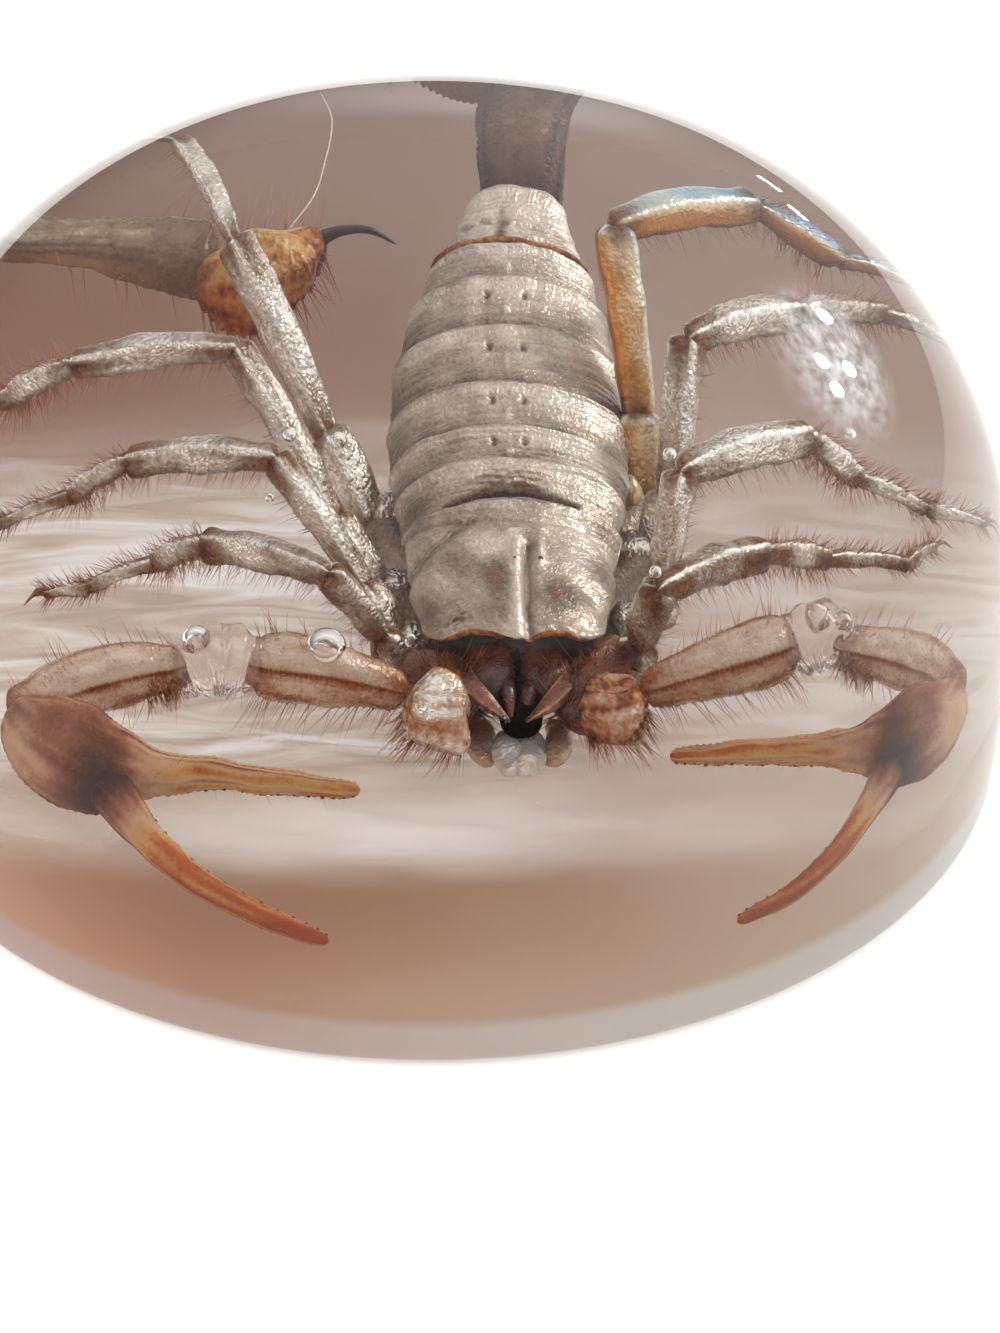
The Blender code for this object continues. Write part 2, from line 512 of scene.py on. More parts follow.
# The hands: smooth, waxy and without silver, so their stain and their orange fingers show.
hand_cuticle = cuticle("beige_hand_cuticle", HAND_STOPS, clear=0.22, rough=0.34, mottle=0.2, index=1.08,
                       coat=0.0, fleck=0.16)
# Borders and the poison bulb: rough amber.
amber_cuticle = cuticle("amber_cuticle", AMBER_STOPS, clear=0.2, rough=0.3, grain=5, depth=0.14, mottle=0.5,
                        index=1.2, coat=0.12, fleck=0.7)
# Mouth parts: glossy red-brown horn, crumbs of salt, thin pale lobes, and a near-black skin that is painted
# shade where the mouth opens.
mouth_cuticle = cuticle("red_brown_mouth_cuticle", MOUTH_STOPS, clear=0.2, rough=0.22, grain=8, depth=0.06,
                        mottle=0.4)
crusted_cuticle = cuticle("salt_crusted_cuticle", THIN_STOPS, silver=0.7, clear=0.2, rough=0.2, grain=4,
                          depth=0.18, mottle=0.9, index=1.2, fleck=0.6)
thin_cuticle = cuticle("thin_pale_cuticle", THIN_STOPS, silver=0.35, clear=0.3, depth=0.09, mottle=0.6,
                       index=1.15)
shadow_black_skin = cuticle("painted_shadow_mouth_skin", [(0.0, "#3A201A"), (1.0, "#060404")], rough=0.6, coat=0.0,
                     index=1.05)
# Teeth, eyes and sting: nearly black and polished.
dark_cuticle = cuticle("dark_glossy_cuticle", DARK_STOPS, rough=0.18, depth=0.008)
# The skin at an elbow: clear as cling film, seen by its glints.
membrane = cuticle("clear_joint_membrane", [(0.0, "#FFF8F6"), (1.0, "#F0DCD2")], clear=0.92, rough=0.1,
                   depth=0.01, index=1.22, coat=0.6)
print("cuticle materials ready")

# %% [markdown]
# ### Bristles, fibre, air and the seam
# A bristle is solid horn, red-brown and paler at its tip. The fibre is cotton. Air in resin is the
# reverse of a glass ball in air: its index is lower than what surrounds it, so its rim mirrors the
# light.

# %% Small materials
bristle_horn, tree, _ = material("red_brown_bristle_horn")
tone = node(tree, "Attribute", attribute_name="tone").outputs["Fac"]
horn = node(tree, "BsdfPrincipled", {
    "Base Color": ramp(tree, tone, BRISTLE_STOPS), "Roughness": 0.4, "IOR": 1.55})
node(tree, "OutputMaterial", {"Surface": horn})

pale_fibre, tree, spot = material("cotton_fibre")
lint = node(tree, "TexNoise", {"Vector": spot, "Scale": 6 * PER_MM, "Detail": 2.0})
white = ramp(tree, lint, [(0.3, "#BFB0A2"), (0.7, "#E6DCD0")])
cotton = node(tree, "BsdfPrincipled", {"Base Color": white, "Roughness": 0.6})
node(tree, "OutputMaterial", {"Surface": cotton})

trapped_air, tree, spot = material("trapped_air")
film = node(tree, "TexNoise", {"Vector": spot, "Scale": 1.6 * PER_MM, "Detail": 1.0})
wobble = node(tree, "Bump", {"Height": film, "Strength": 0.2, "Distance": 0.03 * MM})
air = node(tree, "BsdfGlass", {"Roughness": 0.0, "IOR": 1 / RESIN_INDEX, "Normal": wobble})
node(tree, "OutputMaterial", {"Surface": air})
print("horn, cotton and air ready, air index", round(air.inputs["IOR"].default_value, 3))

# %% [markdown]
# The seam is cured resin with a skin of fine folds, which scatters light like satin, and the light
# and shade of its folds are painted into its colour too: pale on the ridges, grey in the valleys.
# Its streaks run from left to right, and turn broader and calmer in front. It is a veil, thickest
# on the left, that fades out at the near and far ends and towards the wall. That hides its edge
# from the front, but from low down behind, small grey scales show where it ends at the left wall.

# %% Silky seam
silky_seam, tree, spot = material("silky_pour_seam")
stretch = node(tree, "Mapping", {"Vector": spot, "Scale": (0.16, 1.0, 0.3), "Rotation": (0, 0, 0.08)})
streak = node(tree, "TexNoise", {
    "Vector": stretch, "Scale": 0.62 * PER_MM, "Detail": 3.5, "Roughness": 0.5, "Distortion": 1.6})
broad = node(tree, "TexNoise", {"Vector": stretch, "Scale": 0.17 * PER_MM, "Detail": 0.0})
place = node(tree, "SeparateXYZ", {"Vector": spot})
radius = node(tree, "VectorMath", {0: spot}, operation="LENGTH").outputs["Value"]
front = remap(tree, place.outputs["Y"], -6 * MM, -10 * MM, soft=True)
near = remap(tree, place.outputs["Y"], -16.5 * MM, -11.5 * MM, soft=True)
far = remap(tree, place.outputs["Y"], 10 * MM, 3 * MM, soft=True)
left = remap(tree, place.outputs["X"], 8 * MM, -4 * MM, 0.42, 1.05, soft=True)
rim = remap(tree, radius, 24.2 * MM, 21.5 * MM, soft=True)
calm = maths(tree, "MULTIPLY_ADD", front, -0.22, 1.0)
waved = node(tree, "Mix", {0: front, 2: streak, 3: broad})
# Painted light and shade: the folds' ridges are painted pale and their valleys grey.
painted_fold_shading = ramp(tree, waved, [(0.36, "#C4BAAE"), (0.46, "#D6CEC4"), (0.6, "#E8E6E4")])
cover = near
for part in (rim, far, left, calm, ramp(tree, waved, [(0.36, 0.42), (0.62, 0.65)])):
    cover = maths(tree, "MULTIPLY", cover, part)
silk = node(tree, "Bump", {"Height": waved, "Strength": 0.5, "Distance": 0.3 * MM})
seam_shader = node(tree, "BsdfPrincipled", {
    "Base Color": painted_fold_shading, "Roughness": 0.4, "IOR": 1.5, "Alpha": cover, "Normal": silk})
node(tree, "OutputMaterial", {"Surface": seam_shader})
print("silky seam ready")

# %% [markdown]
# ## The dome
# The crown is a superellipse turned about the vertical axis, on a short upright wall with a
# slightly rounded foot, the same profile as the CAD model but in much finer steps, because every
# facet of a lens shows. A squashed sphere would be quicker, but its shoulder would be too thin, and
# everything in it would be seen in the wrong place. Hand polishing leaves it a hundredth of a
# millimetre uneven, which bends the reflected lamps a little. It stands for the CAD node, which
# stays for collision.

# %% Dome
WALL, EDGE, CROWN_POWER = 3.0, 0.4, 2.3


def dome_profile(crown_steps=90, edge_steps=8):
    """Radius and height from the foot's centre to the top: a flat foot, a quarter circle at its
    edge, a wall, and the crown r = R cos^(2/p), z = wall + rise sin^(2/p)."""
    quarter = np.linspace(-np.pi / 2, 0, edge_steps)
    foot = np.array([[0.35, 0.0], [0.75, 0.0], [0.97, 0.0]]) * (RADIUS, 1)
    edge = np.c_[RADIUS - EDGE + EDGE * np.cos(quarter), EDGE + EDGE * np.sin(quarter)]
    wall = np.c_[np.full(5, RADIUS), np.linspace(EDGE, WALL, 7)[1:-1]]
    t = np.linspace(0, np.pi / 2, crown_steps + 1)[:-1]
    t = t + 0.35 * np.sin(2 * t) * (t / np.pi)
    bend = 2 / CROWN_POWER
    crown = np.c_[RADIUS * np.cos(t) ** bend, WALL + (HEIGHT - WALL) * np.sin(t) ** bend]
    return np.vstack([foot, edge, wall, crown])


profile = dome_profile()
circle = np.linspace(0, 2 * np.pi, 288, endpoint=False)
far_out, high_up = profile[:, :1], profile[:, 1:]
rings = np.stack([far_out * np.cos(circle), far_out * np.sin(circle), high_up + 0 * circle], axis=-1)
points, faces, tones = closed(rings, 0.0)
points[-1, 2] = HEIGHT
crown = np.clip((points[:, 2:] - 1) / 6, 0, 1)
points -= unit(points - (0, 0, 8)) * crown * (0.012 + 0.012 * waves(points, 9.0, 2)[:, None])
dome = put("resin_surface", (points, faces, tones), cast_resin)
dome.data.materials.append(satin_resin)
heights = np.array([polygon.center.z for polygon in dome.data.polygons]) / MM
dome.data.polygons.foreach_set("material_index", (heights < 0.02).astype(np.int32))
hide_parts("resin_dome")
print("dome faces", len(heights), "satin", int((heights < 0.02).sum()))

# %% [markdown]
# ## The trunk
# The trunk is a flattened barrel that narrows into the tail. Four measured lines describe it along
# its length: where its middle lies, how wide it is, how high its back stands, and its underside.
# All plates and the soft skin between them are drawn from these lines, so they fit each other.

# %% Lines of the trunk
TRUNK_Y = [-7.7, -6.0, -4.0, -1.2, 0.6, 2.3, 4.2, 6.4, 8.5, 10.4, 12.4]


def trunk_line(values):
    """The function of y that runs smoothly through one value at each place of TRUNK_Y."""
    return lambda y: through(y, TRUNK_Y, values)


middle_x = trunk_line([2.22, 2.2, 2.16, 2.12, 2.08, 2.04, 2.02, 2.0, 2.05, 2.22, 2.5])
half_width = trunk_line([2.05, 2.6, 3.05, 3.2, 3.45, 3.6, 3.55, 3.3, 2.85, 2.2, 1.3])
back_z = trunk_line([6.75, 7.3, 7.52, 7.5, 7.62, 7.7, 7.68, 7.5, 7.25, 6.9, 6.35])
belly_z = trunk_line([4.9, 4.6, 4.2, 4.0, 3.95, 3.9, 3.95, 4.1, 4.35, 4.7, 5.1])
print("trunk", round(TRUNK_Y[-1] - TRUNK_Y[0], 1), "by", round(2 * half_width(TRUNK_Y).max(), 1), "mm")


def waist_z(y):
    """Height of the widest line of the trunk, a little above half height."""
    return 0.5 * (back_z(y) + belly_z(y)) + 0.15


TRUNK_ROLL = math.radians(0.5)


def rolled(x, y, z):
    """The animal lies almost level: each section, given by x from the middle line and
    z, turns about the middle of the waist so that the back leans to the right."""
    level = waist_z(y)
    lean_x = x * math.cos(TRUNK_ROLL) + (z - level) * math.sin(TRUNK_ROLL)
    lean_z = level - x * math.sin(TRUNK_ROLL) + (z - level) * math.cos(TRUNK_ROLL)
    return np.stack([middle_x(y) + lean_x, y + 0 * lean_x, lean_z], axis=-1)


def trunk_grid(y, v, rise, side=1, reach=82):
    """Points over the back (side 1) or belly (side -1). v runs from -1 to 1 over the arch, whose
    angle is v times `reach` degrees: x goes with its sine, and the height falls from the middle
    line to the waist with its cosine. `rise` lifts the surface along the arch's normal."""
    angle = np.radians(reach) * v
    level = waist_z(y)
    peak = back_z(y) - level if side > 0 else level - belly_z(y)
    x = (half_width(y) + rise) * np.sin(angle)
    z = level + side * (peak * np.abs(np.cos(angle)) ** 0.9 + rise * np.cos(angle))
    return rolled(x, y, z)


# %% [markdown]
# ### Soft skin
# Between the back plates and the belly plates lies a folded skin. It is one closed barrel just
# inside the plates, with fine upright pleats at the sides where it shows. The pleats are real
# surface, because a bump texture would leave their outline straight.

# %% Soft skin
PLEAT = 0.34  # from one pleat to the next
y = np.linspace(-6.3, 12.35, 200)[:, None]
turns = np.linspace(0, 2 * np.pi, 96, endpoint=False)[None, :]
high_above = back_z(y) - 0.28 - waist_z(y)
deep_below = waist_z(y) - belly_z(y) - 0.15
core_high = np.where(np.sin(turns) > 0, high_above, deep_below)
pleat = 0.035 * np.sin(2 * np.pi * y / PLEAT + 2 * np.sin(turns * 3)) * np.abs(np.cos(turns)) ** 2
bend = lambda wave: np.sign(wave) * np.abs(wave) ** 0.87
core = rolled((half_width(y) - 0.16 + pleat) * bend(np.cos(turns)), y,
              waist_z(y) + core_high * bend(np.sin(turns)))
fold_tone = np.abs(np.cos(turns)) * (0.5 + 0.5 * np.sin(2 * np.pi * y / PLEAT))
core_tone = 0.3 + 0.25 * fold_tone + 0.7 * np.clip((-5.5 - y) / 0.5, 0, 1)
put("trunk_soft_skin", closed(core, core_tone), pale_cuticle)
print("soft skin", made["trunk_soft_skin"], "faces")

# %% [markdown]
# ### Back plates
# Seven plates cover the back. Each one is tucked under the plate in front of it, swells towards
# its hind border and overlaps the next. The tucked part is painted darker, as painted shade under
# the plate in front, and a slit has opened behind the head, painted dark for the shade in it. Two
# pits stand beside the middle of four plates, where muscles are fixed inside.
# Sculpting could do this too, but one formula keeps all seven alike and in step with the trunk.

# %% Back plates
HIND_Y = [-1.0, 0.78, 2.1, 3.9, 6.35, 8.5, 9.95, 12.35]
PIT_SIDE = {2: 0.46, 3: 0.47, 4: 0.51, 5: 0.56}
STAIN = {1: (0.4, 0.66), 2: (0.22, 0.4)}


def bell(x, place, spread):
    """1 at the place, falling to both sides as a bell curve does."""
    return np.exp(-(((x - place) / spread) ** 2))


def back_plate(number, across=230, along=84):
    """The arch of the trunk between two hind borders. Along it the skin rises from a tuck of
    -0.4 mm through a hollow to a lip of +0.14 mm at the hind border. Pits are bells 0.12 mm deep.
    Fine creases are waves drawn out across the plate, and hair lines near the lip are waves drawn
    out along it. STAIN gives the strength of a dark stain and its place along the plate."""
    start, end = HIND_Y[number - 1] - 0.42, HIND_Y[number]
    first, last = number == 1, number == 7
    v = np.linspace(-1, 1, across)[:, None]
    u = np.linspace(0, 1, along)[None, :]
    y = start + (end - start) * u - 0.22 * v**2 * u
    x = half_width(y) * np.sin(np.radians(82) * v)
    flat = np.stack([x, y, 0 * x], axis=-1)

    crease = waves(flat * (0.3, 2.6, 1), 0.55, 30 + number)
    crease = crease + 0.8 * waves(flat * (0.25, 5.0, 1), 0.6, 60 + number)
    # The hair lines are raised a little and painted paler as glints, more so on the right where the light
    # falls: painted highlights.
    hair = np.clip(waves(flat * (6.0, 0.8, 1), 0.5, 70 + number) - 0.1, 0, 1)
    hair = hair * bell(u, 0.86, 0.1) * (0.4 + 0.3 * (x > 0))
    pit = bell(np.abs(x), PIT_SIDE.get(number, 9), 0.085) * bell((u - 0.72) * (end - start), 0, 0.12)
    peak = bell(x, 0, 0.1) * bell(u, 0.5, 0.1)
    slit_long = 0.2 * np.sqrt(np.clip(1 - (x / 2.15) ** 2, 0.02, 1))
    slit = first * bell(y + 0.4 + 0.05 * x**2, 0, slit_long) * (np.abs(x) < 2.12)

    rise = evenly(u.ravel(), [-0.4, -0.34, -0.2, -0.06, -0.02, -0.06, -0.02, 0.04, 0.08, 0.13, 0.14])
    rise = rise[None, :] * (1 - 0.7 * np.abs(v) ** 4) - 0.06 * np.abs(v) ** 6
    rise = rise - 0.12 * pit - 0.02 * crease + 0.03 * hair + 0.05 * peak - 0.28 * slit
    grid = trunk_grid(y, v, rise + 0.05 * bell(u, 0.94, 0.05))
    grid[..., 2] += 0.02 * waves(grid, 0.7, 20 + number)

    # Painted shade: the tone is darkest over the tuck, for the shade under the plate in front.
    tone = evenly(u.ravel(), [0.74, 0.7, 0.56, 0.38, 0.26, 0.22, 0.18, 0.13, 0.08, 0.04, 0.3])[None, :]
    tone = tone + 0.04 * crease + 0.5 * pit - 0.3 * hair - 0.25 * peak + 0.12 * np.abs(v) ** 3
    # Painted light: each plate is a little paler on its right side and darker on its left, as if lit from the
    # right.
    tone = tone + 0.1 * waves(grid, 1.3, 40 + number) - 0.08 * np.tanh(x / 1.5)
    strength, stain_place = STAIN.get(number, (0, 0.4))
    stain = strength * bell(x, -0.1, 1.3) * bell(u, stain_place, 0.16)
    # Painted shade: the slit is darkened for the shade inside it.
    tone = tone + stain * np.clip(0.5 + 1.2 * waves(flat * (1.5, 4, 1), 0.6, 50), 0, 1.4) + slit
    streak = 1.3 * bell(x, -0.3, 0.16) * np.clip(1.2 - u * 1.2, 0, 1)
    band = 0.6 * bell(u, 0.55, 0.08) * np.clip(0.3 + waves(flat, 0.6, 51), 0, 1)
    tone = tone + last * (0.6 * (streak + band) - 0.22)
    return plate(grid, 0.1, np.clip(tone, 0, 1)), grid


for number in range(1, len(HIND_Y)):
    made_plate, grid = back_plate(number)
    put(f"back_plate_{number}", made_plate, pale_cuticle, (8, 15) if number == 7 else (9, 24))
    if number == 6:
        hem = grid[18:-18:6, -2] + (0, 0.02, 0.02)
hem = limb(hem, [0.1, 0.17, 0.15, 0.17, 0.1], [0.1, 0.16, 0.15, 0.16, 0.1], [0.7, 0.5, 0.62, 0.48, 0.7],
           90, 14, blunt=(0.2, 0.2), uneven=0.03, seed=11)
put("hind_border_of_plate_6", skins(hem), amber_cuticle)
print("back plates", [round(b - a, 1) for a, b in zip(HIND_Y, HIND_Y[1:])], "mm long")

# %% [markdown]
# ### Head shield
# One large shield covers the head and the leg bases. A deep furrow runs down its middle between
# two ridges, slanting furrows cross its sides, and its front border is two shallow bows with a
# small tip between them. Each of these is one term of the height, so it can be moved alone.

# %% Head shield
SHIELD_FRONT, SHIELD_REAR = -6.98, -0.9
FURROW_X = 0.42


def head_shield(across=180, along=150):
    """The trunk's arch from the front border to behind the last furrow. The front border is
    y = front - a tip in the middle + two bows + a fourth power of v that rounds the corners, and
    furrows and ridges are bell curves across lines of the surface. The animal's head is turned a
    little, so the middle furrow lies FURROW_X to the right of the trunk's middle."""
    v = np.linspace(-1, 1, across)[:, None]
    u = np.linspace(0, 1, along)[None, :]
    front = SHIELD_FRONT - 0.2 * bell(v, 0.03, 0.12) + 0.26 * bell(np.abs(v - 0.03), 0.4, 0.22) + 1.3 * v**4
    y = front + (SHIELD_REAR + 0.25 * v**2 - front) * u
    x = half_width(y) * np.sin(np.radians(84) * v) - FURROW_X
    side = np.abs(x)

    furrow = (0.1 + 0.26 * bell(y, -4.6, 1.8)) * bell(x, 0.06, 0.17) * np.clip((-2.2 - y) / 0.8, 0, 1)
    crest = bell(x, -0.3, 0.2 + 0.12 * bell(y, -6.8, 0.6))
    ridge_left = (0.1 + 0.06 * bell(y, -6.6, 0.8)) * crest * np.clip((-2.4 - y) / 1.0, 0, 1)
    ridge_right = 0.14 * bell(x, 0.42, 0.13) * bell(y, -3.3, 0.75)
    slant_line = y + 0.85 * side
    slant = 0.1 * bell(slant_line, -0.05, 0.3) * np.clip((side - 1.3) / 0.5, 0, 1)
    shoulder = 0.12 * bell(y + 0.5 * side, -3.6, 0.5) * np.clip(side / 1.2 - 0.5, 0, 1)
    cross = 0.07 * bell(y - 0.06 * x**2, -1.75, 0.1) + 0.06 * bell(y - 0.05 * x**2, -1.35, 0.07)
    ribs = bell(slant_line, -0.1, 0.4) * np.clip((side - 1.2) / 0.5, 0, 1) * bell(y, -2.2, 0.7) * (x < 0)
    wander = 3 * waves(np.stack([x, y, 0 * x], axis=-1), 0.9, 13)
    cut = ribs * np.clip(np.sin(2 * np.pi * slant_line / 0.19 + wander), 0, 1)
    lip = 0.1 * bell(u, 0.03, 0.035)
    rise = -furrow + ridge_left + ridge_right - slant - shoulder - cross + lip - 0.05 * cut
    grid = trunk_grid(y, v, rise + 0.08 * np.clip(u * 12 - 11, 0, 1), reach=84)
    grid[..., 2] += 0.022 * waves(grid, 0.45, 8) + 0.04 * waves(grid, 1.6, 9)

    glass = bell(x, -0.95, 0.5) * bell(y, -4.9, 1.0) + bell(x, 1.2, 0.6) * bell(y, -5.2, 0.9)
    cracks = bell(x, -2.15, 0.3) * bell(y, -6.2, 0.3) * np.clip(0.3 + waves(grid, 0.25, 14), 0, 1)
    tone = 0.2 + 0.16 * waves(grid, 1.5, 5) + 0.46 * glass + 0.36 * bell(x, 0.1, 0.12) * (y < -2.8)
    tone = tone - 0.45 * crest * (y < -2.2) - 0.25 * bell(x, 0.42, 0.13) * bell(y, -3.2, 0.8)
    tone = tone + 0.5 * cut + 0.1 * bell(y - 0.06 * x**2, -1.75, 0.08)
    # Painted sheen: a band of the shield's right half is made paler, as if lit from the right. The cracks are
    # real dark marks.
    tone = tone - 0.14 * (x > 0.5) * bell(y, -2.6, 1.2) + 0.8 * cracks
    return plate(grid, 0.14, np.clip(tone, 0, 1)), grid


shield, shield_grid = head_shield()
put("head_shield", shield, pale_cuticle)

# The shield's front border is a smooth orange-brown lip, one bow on each side of the tip.
border = shield_grid[:, 0]
bows = []
for low_v, high_v in ((0.12, 0.5), (0.535, 0.9)):
    edge = border[int(low_v * len(border)) : int(high_v * len(border)) : 4] + (0, -0.02, -0.05)
    bows.append(limb(edge, [0.06, 0.15, 0.17, 0.14, 0.06], [0.06, 0.14, 0.16, 0.13, 0.06],
                     [0.7, 0.6, 0.55, 0.6, 0.72], 50, 14, blunt=(0.2, 0.2), seed=10))
put("head_shield_border", skins(*bows), amber_cuticle)
print("head shield", round(SHIELD_REAR - SHIELD_FRONT, 1), "mm long")

# %% [markdown]
# ## Legs
# Each of the eight walking legs has a short base joint, a long first joint that climbs to the
# knee, a second joint to the side, a shin, two foot joints and a pair of claws. The table gives
# how stout a leg is up to the knee and beyond it, how much darker it is, and its joints' places
# from hip to foot. A Skin modifier would round the knees, where a real leg has blunt, open ends.

# %% Leg joints
LEGS = {
    "left_1": (0.82, 0.86, 0.14, [
        (-1.1, -5.2, 5.0), (-3.4, -5.5, 8.2), (-7.0, -2.7, 7.4), (-8.3, -0.8, 5.7), (-10.1, 0.0, 4.5),
        (-11.3, 0.6, 4.0)]),
    "left_2": (0.76, 0.82, 0.14, [
        (-1.2, -3.8, 5.0), (-4.9, -1.1, 9.0), (-9.2, 0.8, 7.8), (-10.6, 2.4, 5.8), (-12.3, 3.3, 4.5),
        (-13.7, 3.9, 4.0)]),
    "left_3": (0.78, 0.76, 0.1, [
        (-1.8, -1.3, 5.0), (-6.1, 3.1, 9.6), (-10.7, 4.7, 8.2), (-12.1, 6.3, 6.0), (-13.9, 7.1, 4.7),
        (-15.3, 7.7, 4.1)]),
    "left_4": (0.92, 0.62, 0.04, [
        (-2.0, 2.1, 5.0), (-6.3, 7.0, 10.0), (-8.0, 13.0, 9.0), (-10.2, 16.0, 7.4), (-12.6, 16.8, 6.3),
        (-14.2, 17.2, 5.4)]),
    "right_1": (0.9, 0.95, 0.3, [
        (5.7, -5.4, 5.0), (6.7, -6.5, 8.2), (9.8, -3.2, 7.4), (11.4, -0.7, 5.7), (13.4, 1.2, 4.5),
        (13.9, 3.0, 4.0)]),
    "right_2": (0.92, 0.98, 0.0, [
        (6.4, -3.1, 5.0), (7.3, -1.7, 9.0), (10.9, 2.0, 7.8), (12.0, 3.2, 5.8), (13.6, 4.0, 4.5),
        (15.0, 4.5, 4.0)]),
    "right_3": (1.0, 0.9, 0.08, [
        (6.4, 0.2, 5.0), (7.6, 3.5, 9.6), (10.5, 6.7, 8.2), (12.1, 9.5, 6.0), (13.4, 10.3, 4.6),
        (14.8, 10.8, 4.1)]),
    "right_4": (1.25, 1.0, -0.1, [
        (6.0, 3.0, 5.0), (5.5, 7.5, 10.0), (9.5, 10.5, 8.6), (11.2, 10.6, 6.7), (13.4, 11.6, 5.2),
        (14.9, 12.3, 4.4)]),
}
# The width, the height and the swell of a leg's limbs, from the one inside the trunk to the foot.
LEG_LIMBS = [
    (1.35, 1.5, [0.85, 1, 1.05]), (1.25, 1.35, [0.8, 1, 1.0]), (1.02, 1.15, [0.68, 0.9, 1.0, 1.02]),
    (0.92, 1.08, [0.72, 1.0, 1.05, 0.95]), (0.7, 0.8, [0.78, 1.0, 0.98, 0.85]),
    (0.46, 0.52, [0.9, 1.0, 0.92, 0.9]), (0.38, 0.44, [0.9, 1.0, 0.8, 0.6])]
JOINT_TONE = [0.68, 0.38, 0.2, 0.14, 0.18, 0.34, 0.76]
BETWEEN_JOINTS = np.array([0, 1, 1, 1, 1, 1, 0])


def leg(joints, stout, shade, seed):
    """The limbs of one leg, each from one joint's place to the next, a little past it, with its
    middle arched by 4% of its length. Widths and heights are those of LEG_LIMBS, times the first
    value of `stout` up to the knee and the second beyond. The shade is added to the tone between
    the joints."""
    joints = np.asarray(joints, float)
    hip, knee = joints[:2]
    hip_end = hip + (knee - hip) * 0.3
    inside = hip + unit(np.array([middle_x(hip[1]), hip[1] + 0.4, 4.7]) - hip) * 1.2
    stations = [inside, hip, hip_end, *joints[1:]]
    limbs = []
    for k, (start, end, (wide, high, swell)) in enumerate(zip(stations, stations[1:], LEG_LIMBS)):
        wide, high = wide * stout[k > 2], high * stout[k > 2]
        way = unit(end - start)
        arch = np.array([0, 0, 0.04 * np.linalg.norm(end - start)]) if k > 1 else 0
        path = [start - way * 0.12 * wide, start + (end - start) * 0.5 + arch, end + way * 0.1 * wide]
        edge = 0.06 * wide if k > 1 else 0.03
        keels = [(52, edge, 13, 0, 0.0), (140, edge, 13, 0, 0.06), (270, 0, 42, 0, 0.5),
                 (225, edge, 12, 0.2, 0.68), (315, edge, 12, 0.2, 0.64)]
        limbs.append(limb(path, np.array(swell) * wide, np.array(swell) * high,
                          tone=JOINT_TONE + shade * BETWEEN_JOINTS, steps=44, around=20, keels=keels,
                          blunt=(0.3 * wide, 0.3 * wide), power=2.7, uneven=0.05, fibres=0.16,
                          seed=seed * 10 + k))
    return limbs


def claws(joints, seed):
    """Two hooks at the end of a foot: cones that rise, bend down by about 50 degrees and spread to
    both sides."""
    joints = np.asarray(joints, float)
    foot, way = joints[-1], unit(joints[-1] - joints[-2])
    across = unit(np.cross(way, (0, 0, 1)))
    hooks = []
    for side in (-1, 1):
        out = unit(way + 0.5 * side * across)
        path = [foot - way * 0.1, foot + out * 0.3 + (0, 0, 0.1), foot + out * 0.58 - (0, 0, 0.12)]
        hooks.append(limb(path, [0.13, 0.1, 0.02], [0.15, 0.11, 0.02], tone=0.6, steps=12, around=8,
                          blunt=(0.05, 0.02), uneven=0, seed=seed))
    return hooks


leg_limbs = {}
for seed, (name, (*stout, shade, joints)) in enumerate(LEGS.items()):
    leg_limbs[name] = leg(joints, stout, shade, seed)
    look, prism = (back_leg_cuticle, (1.5, 5)) if name == "right_4" else (leg_cuticle, (9, 16))
    put("leg_" + name, skins(*leg_limbs[name], *claws(joints, seed)), look, prism)
print("legs", len(leg_limbs), "each of", len(leg_limbs["left_1"]), "joints and two claws")

# %% [markdown]
# ## Claw arms
# The two arms in front each have a hip block, two long joints with dark beaded keels, and a hand
# with two fingers, and a clear pleated skin shows at the elbow. The hand is a swollen egg whose tip
# is drawn out into the fixed finger, and the other finger hinges at the hand's lower corner. The
# hand is seen from its flat side, so its "up" points at the viewer in front, and its width lies
# across that.

